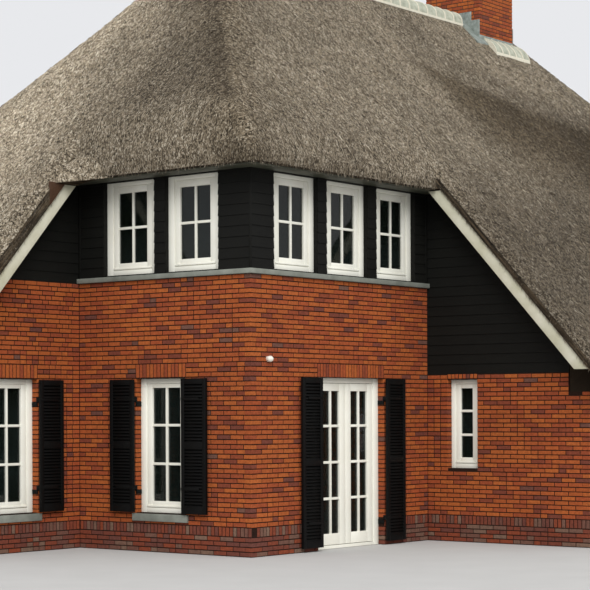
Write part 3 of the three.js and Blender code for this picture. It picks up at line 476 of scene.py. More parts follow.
class Brickwork:
    """Lays a wall's bricks in wild bond between openings, with a darker plinth, a rowlock course and
    soldier courses over the openings."""

    def __init__(self, settings, wall, seed):
        self.course, self.joint, self.proud = settings.course, settings.joint, settings.proud
        self.length, self.head = settings.brick_length, settings.brick_depth
        self.height = settings.brick_height
        self.wall = wall
        self.random = random.Random(seed)
        self.boxes, self.tones = [], []

    def lay(self, u0, u1, z0, z1, tone):
        proud = self.proud + self.random.uniform(-0.0012, 0.0012)
        depth = self.head + proud
        start = self.wall.at(u0, z0 + self.random.uniform(-0.001, 0.001), proud - depth)
        axes = [list(self.wall.along), [0, 0, 1], list(self.wall.out)]
        self.boxes.append((start, (u1 - u0, z1 - z0, depth), axes))
        self.tones.append(tone)

    def tone(self, z):
        uniform = self.random.uniform
        if z < PLINTH_TOP:
            return uniform(0.72, 1.0)
        pick = self.random.random()
        if pick < 0.86:
            return uniform(0.0, 0.68)
        return uniform(0.68, 0.86) if pick < 0.985 else uniform(0.86, 0.95)

    def run(self, u, end, z0, z1, below):
        """Bricks from u to the end; returns the places of the upright joints."""
        joints = []
        while end - u > 0.02:
            left = end - u
            pick = self.length if self.random.random() < 0.7 else self.head
            if any(abs(u + pick - j) < 0.035 for j in below):
                pick = self.head if pick == self.length else self.length
            if left < self.length + self.joint:
                pick = left
            elif left - pick - self.joint < 0.06:
                pick = (left - self.joint) / 2
            self.lay(u, u + pick, z0, z1, self.tone(z0))
            u += pick + self.joint
            joints.append(u - self.joint / 2)
        return joints

    def upright(self, start, end, z0, z1):
        """Bricks on end or on edge, side by side."""
        count = max(1, round((end - start) / self.course))
        step = (end - start) / count
        for i in range(count):
            u = start + i * step
            self.lay(u + self.joint / 2, u + step - self.joint / 2, z0, z1, self.tone(z0))

    def build(self, start, end, openings, top, corners):
        """Fills a wall. Its start and end are numbers or give its ends at a height; corners holds the
        parities of the corners there."""
        start, end = [edge if callable(edge) else (lambda z, edge=edge: edge) for edge in (start, end)]
        below = []
        for k in range(int(round(top / self.course + 0.49))):
            z0 = k * self.course + self.joint / 2
            z1 = min(z0 + self.height, top - 0.003)
            if z1 - z0 < 0.02 or k == ROWLOCK + 1:
                continue
            u, last = start(z1), end(z1)
            u += self.corner(corners[0] if u == start(0) else None, k)
            last -= self.corner(corners[1] if last == end(0) else None, k)
            if k == ROWLOCK:
                z1 = z0 + 2 * self.course - self.joint
            joints = []
            for left, right in sorted(filter(None, (self.gap(o, z0, z1) for o in openings))) + [(last, None)]:
                if left - u > 0.02:
                    if k == ROWLOCK:
                        self.upright(u, left, z0, z1)
                    else:
                        joints += self.run(u, left, z0, z1, below)
                u = right
            below = joints
        for left, right, _, head in openings:
            base = round(head / self.course) * self.course + self.joint / 2
            crown = min(base + SOLDIER_COURSES * self.course - self.joint, top - 0.003)
            self.upright(left, right, base, crown)

    def gap(self, o, z0, z1):
        left, right, bottom, head = o
        crown = (round(head / self.course) + SOLDIER_COURSES) * self.course
        if z1 <= bottom or z0 >= crown - 0.01:
            return None
        edge = 0.002 if z0 < head else -self.joint / 2
        return (left + edge, right - edge)

    def corner(self, parity, k):
        """How much shorter the course is at a corner: it stands proud where it owns the corner.
        Where there is no corner the courses end straight."""
        if parity is None:
            return 0.009
        return -self.proud if (k + parity) % 2 == 0 else self.head + self.joint - self.proud

    def piece(self, name, unit):
        """One mesh of many copies of a brick. Each copy is stretched between the brick's edges to its
        own box, so that its rounded edges keep their size."""
        verts = np.array([v.co for v in unit.vertices])
        faces = [list(f.vertices) for f in unit.polygons]
        low, high = verts.min(0), verts.max(0)
        upper = verts > (high + low) / 2
        points = np.concatenate([
            np.array(origin) + (verts - low + upper * (np.array(extent) - high + low)) @ np.array(axes)
            for origin, extent, axes in self.boxes])
        corners = np.concatenate(faces)
        loops = np.concatenate([corners + len(verts) * k for k in range(len(self.boxes))])
        totals = np.tile([len(f) for f in faces], len(self.boxes))
        mesh = bpy.data.meshes.new(name)
        mesh.vertices.add(len(points))
        mesh.vertices.foreach_set("co", points.ravel())
        mesh.loops.add(len(loops))
        mesh.loops.foreach_set("vertex_index", loops)
        mesh.polygons.add(len(totals))
        mesh.polygons.foreach_set("loop_start", np.concatenate([[0], np.cumsum(totals)[:-1]]))
        mesh.update(calc_edges=True)
        mesh.validate()
        tone = mesh.attributes.new("tone", "FLOAT", "POINT")
        tone.data.foreach_set("value", np.repeat(np.array(self.tones, dtype=np.float32), len(verts)))
        finish_piece(new_piece(name, mesh), "brick", angle=20)


def left_slope_at(z):
    return -(HIP_PLANE - THATCH_DROP - z) / PITCH


class COTTAGE_OT_brickwork(bpy.types.Operator):
    """Lays the bricks of the outer walls and the chimney"""
    bl_idname = "cottage.brickwork"
    bl_label = "Brickwork"

    def execute(self, context):
        settings = context.scene.cottage_bricks
        unit = self.unit_brick(settings)
        wing_start = lambda z: max(-HALF_LENGTH, left_slope_at(z)) if z > LOW_SEAT else -HALF_LENGTH
        wing_end = lambda z: HALF_WIDTH if z < LOW_SEAT else WING_END
        walls = [
            ("corner_front", FRONT, LEFT_WING_X, CORNER_X, [FRONT_WINDOW], BRICK_TOP, (None, 0)),
            ("corner_side", SIDE, CORNER_Y, RIGHT_WING_Y, [DOOR], BRICK_TOP, (1, None)),
            ("left_wing_side", LEFT_WING, wing_start, CORNER_Y, [LEFT_WINDOW], BRICK_TOP, (1, None)),
            ("right_wing_side", RIGHT_WING, CORNER_X, wing_end, [NARROW_WINDOW], WING_BRICK_TOP, (None, 0)),
        ]
        walls += [(name, wall, start, end, row_openings(name), LOW_SEAT, (1, 0))
                  for name, (wall, start, end, *_) in ROWS.items()]
        for seed, (name, wall, *course_plan) in enumerate(walls):
            work = Brickwork(settings, wall, seed)
            work.build(*course_plan)
            work.piece(f"{name}_bricks", unit)
        self.chimney(settings, unit)
        return {"FINISHED"}

    def unit_brick(self, settings):
        """A brick with rounded front edges, modelled once at the origin and then copied."""
        size = (settings.brick_length, settings.brick_height, settings.brick_depth)
        select_only()
        bpy.ops.mesh.primitive_cube_add(size=1, location=[s / 2 for s in size], scale=size)
        brick = bpy.context.object
        bpy.ops.object.transform_apply(location=True, rotation=False, scale=True)
        bpy.ops.object.mode_set(mode="EDIT")
        bpy.ops.mesh.select_all(action="DESELECT")
        for edge in bmesh.from_edit_mesh(brick.data).edges:
            edge.select = all(v.co.z > size[2] - 1e-5 for v in edge.verts)
        bmesh.update_edit_mesh(brick.data)
        bpy.ops.mesh.bevel(offset=0.003, segments=1, affect="EDGES")
        bpy.ops.object.mode_set(mode="OBJECT")
        unit = brick.data.copy()
        bpy.data.objects.remove(brick)
        return unit

    def chimney(self, settings, unit):
        work = Brickwork(settings, None, seed=90)
        for out, offset, first, last in (((0, -1), -STACK_FRONT, -STACK_HALF, STACK_HALF),
                                         ((1, 0), STACK_HALF, STACK_FRONT, STACK_BACK),
                                         ((0, 1), STACK_BACK, -STACK_HALF, STACK_HALF),
                                         ((-1, 0), STACK_HALF, -STACK_BACK, -STACK_FRONT)):
            work.wall = Wall(out, offset)
            below = []
            k = int(STACK_FOOT / settings.course)
            while (k + 1) * settings.course < STACK_TOP:
                z = k * settings.course
                below = work.run(first + work.corner(1, k), last - work.corner(0, k),
                                 z, z + settings.brick_height, below)
                k += 1
        work.piece("chimney_bricks", unit)


# Thatch


def edge_distance(x, y):
    """Distance from points to the roof's outline, for arrays of x and y."""
    nearest = np.full(np.shape(x), 1e9)
    for (x0, y0), (x1, y1) in EDGES:
        dx, dy = x1 - x0, y1 - y0
        share = np.clip(((x - x0) * dx + (y - y0) * dy) / (dx * dx + dy * dy), 0, 1)
        nearest = np.minimum(nearest, np.hypot(x - x0 - share * dx, y - y0 - share * dy))
    return nearest


def smoothstep(value, low, high):
    share = np.clip((value - low) / (high - low), 0, 1)
    return share * share * (3 - 2 * share)


def hip_plane(y):
    return np.where(y < 0, HIP_PLANE + PITCH * y, REAR_PLANE - REAR_PITCH * y)


def over_crest(x):
    """Height of the thatch on the ridge and the long slopes."""
    return RIDGE_PLANE - PITCH * np.hypot(x, CREST_ROUND)


def thatch_top(x, y):
    """Height of the thatch: four planes with rounded crest and hips, and a lip rounded down along
    the edges."""
    edge = edge_distance(x, y)
    slope, hip = over_crest(x), hip_plane(y)
    low = np.minimum(slope, hip)
    fall = np.clip((RIDGE_PLANE - low) / HIP_ROUND_FALL, 0, 1)
    radius = HIP_ROUND_TOP + (HIP_ROUND_LOW - HIP_ROUND_TOP) * fall
    radius = radius * (HIP_EDGE_SHARE + (1 - HIP_EDGE_SHARE) * smoothstep(edge, 0, HIP_EDGE_FADE))
    near = np.maximum(radius - np.abs(slope - hip), 0) / radius
    rounding = np.maximum(1 - edge / LIP, 0)
    plane = low - near * near * radius / 4
    return plane - LIP_SHARE * (plane - thatch_underside(x, y)) * rounding * rounding


def thatch_underside(x, y):
    slope = np.minimum(RIDGE_PLANE - PITCH * np.abs(x), hip_plane(y)) - THATCH_DROP
    low_wall = (np.abs(x) >= HALF_WIDTH - WALL + STEP) | (np.abs(y) >= HALF_LENGTH - WALL + STEP)
    over_corner = (((x >= LEFT_WING_X + STEP) & (y <= CORNER_Y + WALL - STEP))
                   | ((x >= CORNER_X - WALL + STEP) & (y <= RIGHT_WING_Y - STEP)))
    height = np.where(over_corner, RAISED_SEAT, np.where(low_wall, LOW_SEAT, slope))
    past_left = (x > LEFT_WING_X) & (y < FRONT_EAVE_Y)
    past_right = (y < RIGHT_WING_Y) & (x > SIDE_EAVE_X)
    verge = np.maximum(slope + np.where(past_right, RIGHT_VERGE_RISE, 0), VERGE_END_FLOOR)
    return np.where(past_left | past_right, verge, height)


def notched(x, y):
    """Where the roof is cut back before the two gables."""
    return ((x > LEFT_VERGE_X) & (y < FRONT_EAVE_Y)) | ((x > SIDE_EAVE_X) & (y < RIGHT_VERGE_Y))


def wet_edge(y):
    return 1.42 + 0.19 * (y + 0.9) - 0.012 * (y + 0.9) ** 2


def fold(x, y):
    """The soft crease down the right slope from the caps beside the chimney, and the hollow before
    it where water runs."""
    crease = np.exp(-((y - 2.22 - 0.25 * (x - 0.85)) / 0.09) ** 2) * smoothstep(x, 0.85, 1.0)
    crease = crease * (1 - smoothstep(x, 1.1, 1.7))
    hollow = np.exp(-((x - wet_edge(y) - 0.25) / 0.4) ** 2) * smoothstep(y, -1.6, 0.2)
    return 0.035 * crease + 0.05 * hollow * (1 - smoothstep(y, 4.0, 7.0))


def thatch_surface(x, y):
    """Height of the thatch with its swells and folds, which die out at edges, caps and stack."""
    stack = np.maximum(np.abs(x) - STACK_HALF, np.maximum(STACK_FRONT - y, y - STACK_BACK))
    calm = smoothstep(edge_distance(x, y), 0.0, 0.3)
    calm = calm * smoothstep(np.maximum(stack, np.abs(x) - CAP_HALF), 0.1, 0.5)
    swell = np.array([
        noise.noise((u * 0.9, v * 0.9, 3.1)) + 0.35 * noise.noise((u * 3.1, v * 3.1, 7.7))
        for u, v in zip(x.ravel(), y.ravel())
    ]).reshape(x.shape)
    uneven = bpy.context.scene.cottage_thatch.uneven
    return thatch_top(x, y) + (uneven * swell - fold(x, y)) * calm


def weather(x, y):
    """Shares of the thatch. The damp-and-shade share darkens a band below the chimney, partly damp reed
    and partly painted shade of the hollow there, and a mossy run on the near hip. The pale-and-lit share
    is painted light: paler on the left slope and the left of the near hip, and on the right slope toward
    the front and above the dark band; it is paler along the eaves too."""
    below = x - wet_edge(y)
    band = smoothstep(below, -0.08, 0.16) * (1 - smoothstep(below, 0.6, 2.3))
    band = band * smoothstep(y, -1.7, -0.5) * (1 - smoothstep(y, 5.0, 8.0))
    share = np.clip((x - 0.7) / 2.5, 0, 1)
    run = np.exp(-(np.hypot(x - 0.7 - 2.5 * share, y + 5.1 + 2.6 * share) / 0.6) ** 2)
    # Partly damp and partly painted shade: the band in the hollow below the chimney, with the mossy run on the
    # near hip
    damp = np.maximum(0.95 * band, 0.55 * run)
    behind = hip_plane(y) - RIDGE_PLANE + PITCH * np.abs(x)
    along = np.maximum(1 - smoothstep(y, -2.0, 3.5), (y > 0) * (1 - smoothstep(below, -0.6, 0.0)))
    right = 0.34 * along * (1 - smoothstep(x, 2.7, 4.2))
    front = 1 - 0.96 * smoothstep(x, -2.0, 1.5)
    left = (0.3 + 0.7 * (1 - smoothstep(behind, 0.0, 2.5)) * (y < 0)) * front
    # Painted light: paler on the lit left slope and near hip, and on the right slope toward the front and above
    # the dark band
    pale = np.where((behind < 0) & (y < 0), front, np.where(x < 0, left, right))
    eaves = 0.28 * (1 - smoothstep(edge_distance(x, y), 0.1, 0.6)) * (x < SIDE_EAVE_X + 0.01)
    return {"damp": damp, "pale": np.maximum(pale, eaves * (1 - 0.7 * smoothstep(x, 2.6, 3.3)))}


def grid_lines(reach, cell, needed):
    """Evenly spaced lines, with the needed ones put in exactly."""
    count = int(round(2 * reach / cell))
    even = -reach + 2 * reach * np.arange(count + 1) / count
    kept = [v for v in even if min(abs(v - n) for n in needed) > cell * 0.3]
    return np.array(sorted(set(kept) | set(needed)))


def reed_piece(name, points, faces, along, shares, **finish):
    """A piece of thatch from its points and faces, the reed's map and its shares of damp reed with painted
    shade, of pale reed with painted light and of cut reed with painted shade, each for every point or
    every face corner."""
    mesh = bpy.data.meshes.new(name)
    mesh.from_pydata(points.tolist(), [], faces)
    mesh.uv_layers.new(name="reed").data.foreach_set("uv", along.astype(np.float32).ravel())
    for share, values in shares.items():
        made = mesh.attributes.new(share, "FLOAT", "POINT" if len(values) == len(points) else "CORNER")
        made.data.foreach_set("value", values.astype(np.float32))
    finish_piece(new_piece(name, mesh), "reed", **finish)


def slivers(name, corners, along, shares):
    """Thin four-sided reed ends, each from three corners of its root and its tip."""
    faces = 4 * np.arange(len(corners))[:, None, None] + np.array([(0, 2, 1), (0, 1, 3), (1, 2, 3), (2, 0, 3)])
    shares = {share: np.repeat(values, 4) for share, values in shares.items()}
    reed_piece(name, corners.reshape(-1, 3), faces.reshape(-1, 3).tolist(),
               along.reshape(-1, 2)[faces.ravel()], shares)


class ThatchSettings(bpy.types.PropertyGroup):
    cell: length("Cell", "Spacing of the thatch mesh", 0.074)
    uneven: length("Unevenness", "Height of the swells in the thatch", 0.022)
    tips: bpy.props.IntProperty(
        name="Reed tips", description="Loose reed ends along the eaves", default=16000)
    tufts: bpy.props.IntProperty(
        name="Tufts", description="Stalk ends that stand out of the slopes", default=45000)
    tip_length: length("Tip length", "Length of a loose reed end", 0.08)


class COTTAGE_OT_thatch(bpy.types.Operator):
    """Lays the thatch with its rounded hips, shaggy edges and swells"""
    bl_idname = "cottage.thatch"
    bl_label = "Thatch"

    def execute(self, context):
        settings = context.scene.cottage_thatch
        xs, ys = [STACK_HALF, -STACK_HALF, 0.0], [STACK_FRONT, STACK_BACK]
        for x, step in ((LEFT_WING_X, STEP), (CORNER_X - WALL, STEP), (HALF_WIDTH - WALL, STEP),
                        (-HALF_WIDTH + WALL, -STEP)):
            xs += [x, x + step]
        for y, step in ((RIGHT_WING_Y, -STEP), (CORNER_Y + WALL, -STEP), (HALF_LENGTH - WALL, STEP),
                        (-HALF_LENGTH + WALL, -STEP)):
            ys += [y, y + step]
        for lip in (0.0, 0.012, 0.035, 0.07, 0.12, 0.18, LIP):
            xs += [LEFT_VERGE_X - lip, SIDE_EAVE_X - lip, EAVE_X - lip, lip - EAVE_X]
            ys += [lip - EAVE_Y, FRONT_EAVE_Y + lip, RIGHT_VERGE_Y + lip, EAVE_Y - lip]
        self.slab(grid_lines(EAVE_X, settings.cell, xs), grid_lines(EAVE_Y, settings.cell, ys))
        self.tips(settings)
        self.tufts(settings)
        self.verge_fill()
        return {"FINISHED"}

    def slab(self, xs, ys):
        gx, gy = np.meshgrid(xs, ys, indexing="ij")
        top = thatch_surface(gx, gy)
        bottom = np.minimum(thatch_underside(gx, gy), top - 0.05)
        mx, my = np.meshgrid((xs[:-1] + xs[1:]) / 2, (ys[:-1] + ys[1:]) / 2, indexing="ij")
        stack_hole = (np.abs(mx) < STACK_HALF) & (my > STACK_FRONT) & (my < STACK_BACK)
        covered = ~(notched(mx, my) | stack_hole)
        padded = np.pad(covered, 1)
        layer = gx.size
        index = np.arange(layer).reshape(gx.shape)
        quads = []
        for i, j in np.argwhere(covered):
            ring = [index[i, j], index[i + 1, j], index[i + 1, j + 1], index[i, j + 1]]
            quads += [ring, [v + layer for v in reversed(ring)]]
            beside = (padded[i + 1, j], padded[i + 2, j + 1], padded[i + 1, j + 2], padded[i, j + 1])
            for a, b, neighbour in zip(ring, ring[1:] + ring[:1], beside):
                if not neighbour:
                    quads.append([a, a + layer, b + layer, b])
        used, quads = np.unique(np.array(quads), return_inverse=True)
        quads = quads.reshape(-1, 4)
        points = np.concatenate([np.stack([gx.ravel(), gy.ravel(), z.ravel()], 1) for z in (top, bottom)])[used]
        along, cut_and_shade = self.reed_direction(points[quads], (used >= layer)[quads])
        shares = weather(points[:, 0], points[:, 1]) | {"underside": cut_and_shade}
        reed_piece("reed_thatch", points, quads.tolist(), along, shares, replaces=("thatch_roof",), angle=50)

    def reed_direction(self, quads, low):
        """A map in metres whose second axis runs down the slope, and the share of cut reed with its painted
        shade, from the corners of the quads and which of them lie low."""
        middle = quads.mean(1)
        x, y, z = quads.reshape(-1, 3).T
        on_hip = np.repeat(hip_plane(middle[:, 1]) < RIDGE_PLANE - PITCH * np.abs(middle[:, 0]), 4)
        upright = np.repeat(np.ptp(quads[:, :, :2], axis=1).min(1) < 1e-6, 4)
        left = np.repeat((middle[:, 0] > LEFT_WING_X) & (middle[:, 1] < FRONT_EAVE_Y), 4) & upright
        right = np.repeat((middle[:, 1] < RIGHT_WING_Y) & (middle[:, 0] > SIDE_EAVE_X), 4) & upright
        steep = math.hypot(1, PITCH)
        cases = [left, right, upright, on_hip]
        across = np.select(cases, [(z - PITCH * y) / steep, (z + PITCH * x) / steep, x + y, x], y)
        down = np.select(cases, [(y + PITCH * z) / steep, (x - PITCH * z) / steep, z,
                                 (np.abs(y) - PITCH * z) / steep], (np.abs(x) - PITCH * z) / steep)
        # Cut faces are darkened as painted shade: fully underneath, 0.85 on the verges' sides, 0.3 at the low
        # corners of upright faces
        cut_and_shade = np.where(np.repeat(low.all(1), 4), 1.0, np.where(left | right, 0.85, 0.3 * low.ravel()))
        return np.stack([across, down], 1), cut_and_shade

    def tips(self, settings):
        """Loose reed ends that hang from the lower edge of the eaves and verges."""
        rng = random.Random(5)
        whole = sum(math.dist(a, b) for a, b in EDGES)
        corners = []
        for a, b in EDGES:
            out = Vector((b[1] - a[1], a[0] - b[0], 0)).normalized()
            for _ in range(int(settings.tips * math.dist(a, b) / whole)):
                share = rng.random()
                x, y = [a[k] + (b[k] - a[k]) * share - out[k] * 0.012 for k in (0, 1)]
                probe = np.array([x]), np.array([y])
                low, high = float(thatch_underside(*probe)[0]), float(thatch_top(*probe)[0])
                base = Vector((x, y, low + (high - low) * rng.random() ** 1.5))
                size = settings.tip_length * rng.uniform(0.3, 1.0)
                lean = Vector((rng.uniform(-0.4, 0.4), rng.uniform(-0.4, 0.4), -1)).normalized()
                side = out.cross(lean).normalized() * rng.uniform(0.003, 0.0055)
                thick = side.cross(lean).normalized() * 0.004
                corners.append([base + side, base - side, base + thick, base + lean * size + out * 0.006])
        corners = np.array(corners)
        along = np.stack([corners[..., 0] + corners[..., 1], corners[..., 2]], -1)
        slivers("reed_tips", corners, along, {"pale": np.full(len(corners), 0.4)})

    def tufts(self, settings):
        """Stalk ends that stand out of the thatch: slivers that point down the slope, each of one tone."""
        rng = np.random.default_rng(11)
        x = rng.uniform(-EAVE_X, EAVE_X, 3 * settings.tufts)
        y = rng.uniform(-EAVE_Y, EAVE_Y, 3 * settings.tufts)
        stack = (np.abs(x) < STACK_HALF + 0.35) & (y > STACK_FRONT - 0.12) & (y < STACK_BACK + 0.3)
        caps = (np.abs(x) < CAP_HALF + 0.08) & (y > CAPS[0] - 0.1) & (y < STACK_BACK)
        kept = ~(notched(x, y) | stack | caps) & (edge_distance(x, y) > 0.05)
        kept = np.flatnonzero(kept)[:settings.tufts]
        x, y = x[kept], y[kept]
        z = thatch_surface(x, y)
        step = 0.01
        slope = np.stack([(z - thatch_surface(x + step, y)) / step,
                          (z - thatch_surface(x, y + step)) / step, np.ones(len(x))], 1)
        normal = slope / np.linalg.norm(slope, axis=1, keepdims=True)
        down = np.cross(np.cross(normal, (0.0, 0.0, 1.0)), normal)
        down = -down / np.linalg.norm(down, axis=1, keepdims=True)
        across = np.cross(normal, down)
        turn = rng.normal(0.0, 0.6, (len(x), 1))
        lean = down * np.cos(turn) + across * np.sin(turn)
        side = across * np.cos(turn) - down * np.sin(turn)
        size = rng.uniform(0.04, 0.11, (len(x), 1))
        wide = rng.uniform(0.003, 0.007, (len(x), 1))
        root = np.stack([x, y, z], 1) - normal * 0.006
        tip = root + lean * size + normal * (0.006 + rng.uniform(0.004, 0.014, (len(x), 1)))
        corners = np.stack([root + side * wide, root - side * wide, root + normal * 0.012, tip], 1)
        shares = weather(x, y)
        shares["pale"] = np.clip(shares["pale"] * 0.8 + rng.uniform(0.0, 0.3, len(x)), 0, 1)
        slivers("reed_tufts", corners, np.repeat(np.stack([x, y * 1.48], 1), 4, 0), shares)

    def verge_fill(self):
        """The thatch that carries the raised eave round to the left verge, thinning out to the right."""
        x0, y0 = LEFT_VERGE_X - 0.008, FRONT_EAVE_Y + 0.012
        rings = []
        for share in np.linspace(0, 1, 9):
            out = 0.448 * (1 - share) ** 2.2 + 0.004
            top, low = 5.33 + 0.03 * share, 5.008 - 0.065 * out / 0.452
            rings.append([(x0 + 0.6 * share, y0, low)] + [
                (x0 + 0.6 * share, y0 - out * t, top + (low - top) * t + 0.1 * out * math.sin(math.pi * t))
                for t in np.linspace(1, 0, 7)])
        count = len(rings[0])
        points = np.array(rings).reshape(-1, 3)
        # Each face starts one corner on, so that bent ones fold outward
        faces = [face[1:] + face[:1] for face in loft_faces(len(rings), count)]
        places = points[np.concatenate(faces)]
        # The fill's bottom face is darkened as painted shade
        ends, around = np.zeros(2 * count), np.repeat(np.arange(count) == 0, 4)
        cut_and_shade = np.concatenate([ends, np.tile(around, len(rings) - 1)])
        shares = {"underside": cut_and_shade, "pale": np.full(len(points), 0.45)}
        along = np.stack([places[:, 0], places[:, 1] + places[:, 2]], 1)
        reed_piece("reed_verge_fill", points, faces, along, shares, angle=60)


# Ridge, lead and chimney head

LEAD_TOP = 8.87


class RidgeSettings(bpy.types.PropertyGroup):
    pitch: length("Cap pitch", "Length of one ridge cap", 0.262)
    rise: length("Rise", "Height of a cap over its lower edges", 0.31)


class COTTAGE_OT_ridge(bpy.types.Operator):
    """Sets the ridge caps, their pointing and the stepped lead round the chimney"""
    bl_idname = "cottage.ridge"
    bl_label = "Ridge and lead"

    def execute(self, context):
        self.caps(context.scene.cottage_ridge)
        self.side_caps("right", 1)
        self.side_caps("left", -1)
        self.lead()
        return {"FINISHED"}

    def section(self, y, grow, rise):
        """Outline of a cap: over the crest of the thatch, rounded above."""
        edge, half = over_crest(CAP_HALF) + 0.002, CAP_HALF - 0.004 + grow
        over = []
        for turn in np.linspace(0, math.pi, 13):
            z = edge + 0.045 + (max(math.sin(turn), 0) ** 0.75) * (rise - 0.06 + grow)
            over.append(Vector((math.cos(turn) * half, y, z)))
        under = [Vector((x, y, over_crest(x) + 0.002)) for x in (-0.22, -0.1, 0.0, 0.1, 0.22)]
        return over + [Vector((-half, y, edge))] + under + [Vector((half, y, edge))]

    def caps(self, settings):
        start, end = CAPS
        count = round((end - start) / settings.pitch)
        step = (end - start) / count
        section = lambda y, grow: self.section(y, grow, settings.rise)
        piece = begin("ridge_tiles")
        for i in range(count):
            y = start + i * step
            loft(section(y + 0.012, -0.012), section(y + step - 0.02, -0.004))
        finish_piece(piece, "clay", replaces=("ridge_caps",), angle=40)
        joints = begin("ridge_tiles_pointing")
        for i in range(count + 1):
            y = start + i * step
            near, far = max(y - 0.022, start), min(y + 0.014, end)
            loft(section(near, -0.001), section((near + far) / 2, 0.004), section(far, -0.001))
        for side in (-1, 1):
            prism([Vector((side * (CAP_HALF + x), start, over_crest(CAP_HALF) + z)) for x, z in (
                (-0.06, 0.0), (0.012, 0.0), (0.006, 0.04), (-0.04, 0.06))], (0, end - start, 0))
        finish_piece(joints, "pointing", angle=40)

    def side_caps(self, name, side):
        """Bulging caps on the slope along the chimney's foot, with pointing between and below them."""
        profile = [(0.558, 0.05), (0.6, 0.066), (0.65, 0.09), (0.7, 0.106), (0.75, 0.112), (0.79, 0.104),
                   (0.82, 0.084), (0.836, 0.06), (0.844, 0.002)]
        start, end = SIDE_CAPS
        step = (end - start) / 5
        tiles = begin(f"side_tiles_{name}")
        for i in range(5):
            self.side_slab(side, profile, 0.0, start + i * step + 0.009, step - 0.018)
        finish_piece(tiles, "clay", bevel=0.003, replaces=(f"side_caps_{name}",), angle=50)
        joints = begin(f"side_tiles_{name}_pointing")
        for i in range(6):
            y = start + i * step
            near, far = max(y - 0.016, start - 0.004), min(y + 0.016, end + 0.004)
            self.side_slab(side, profile, 0.007, near, far - near)
        foot = [(0.82, 0.03), (0.838, 0.044), (0.852, 0.036), (0.858, 0.002)]
        self.side_slab(side, foot, 0.0, start, end - start)
        finish_piece(joints, "pointing", angle=50)

    def side_slab(self, side, profile, grow, y, depth):
        over = [(STACK_HALF + (x - STACK_HALF) * 0.91 + grow * (x - 0.7) * 5, z + grow) for x, z in profile]
        under = [(over[-1][0], 0.0), (over[0][0], 0.0)]
        prism([Vector((side * x, y, over_crest(x) + z)) for x, z in over + under], (0, depth, 0))

    def lead(self):
        """Lead pieces let into the joints, each a step higher towards the ridge, and the aprons."""
        piece = begin("stepped_lead")
        for wall in (Wall((0, -1), -STACK_FRONT), Wall((0, 1), STACK_BACK)):
            for side in (-1, 1):
                for near, far in ((0.02, 0.22), (0.20, 0.40), (0.38, 0.57)):
                    high = min(over_crest(near) + 0.16, LEAD_TOP)
                    block(wall, (side * near, side * far), (over_crest(far) - 0.05, high),
                          (0.004, 0.017 + 0.002 * near))
        base = over_crest(STACK_HALF)
        for out in (1, -1):
            for k in range(3):
                y = STACK_FRONT - 0.01 + k * 0.36
                block(Wall((out, 0), STACK_HALF), (out * y, out * (y + 0.38)), (base - 0.06, base + 0.075),
                      (0.004, 0.018 + 0.002 * k))
        crest = [0.0, 0.1, 0.2, 0.35, 0.5, 0.66]
        for near, far, across in ((STACK_FRONT - 0.22, STACK_FRONT + 0.02, crest),
                                  (STACK_FRONT, SIDE_CAPS[0], [STACK_HALF - 0.01, 0.66]),
                                  (STACK_BACK - 0.02, STACK_BACK + 0.1, crest)):
            for side in (-1, 1):
                outline = [(x, 0.028) for x in across] + [(x, -0.03) for x in reversed(across)]
                prism([Vector((side * x, near, over_crest(x) + z)) for x, z in outline], (0, far - near, 0))
        finish_piece(piece, "lead", bevel=0.003, replaces=("chimney_flashing",))


# Boards

BOARD_BACK = -0.0205


class BoardSettings(bpy.types.PropertyGroup):
    exposure: length("Exposure", "Height of a board that shows", 0.14)
    lap: length("Lap", "How far a board covers the next", 0.02)


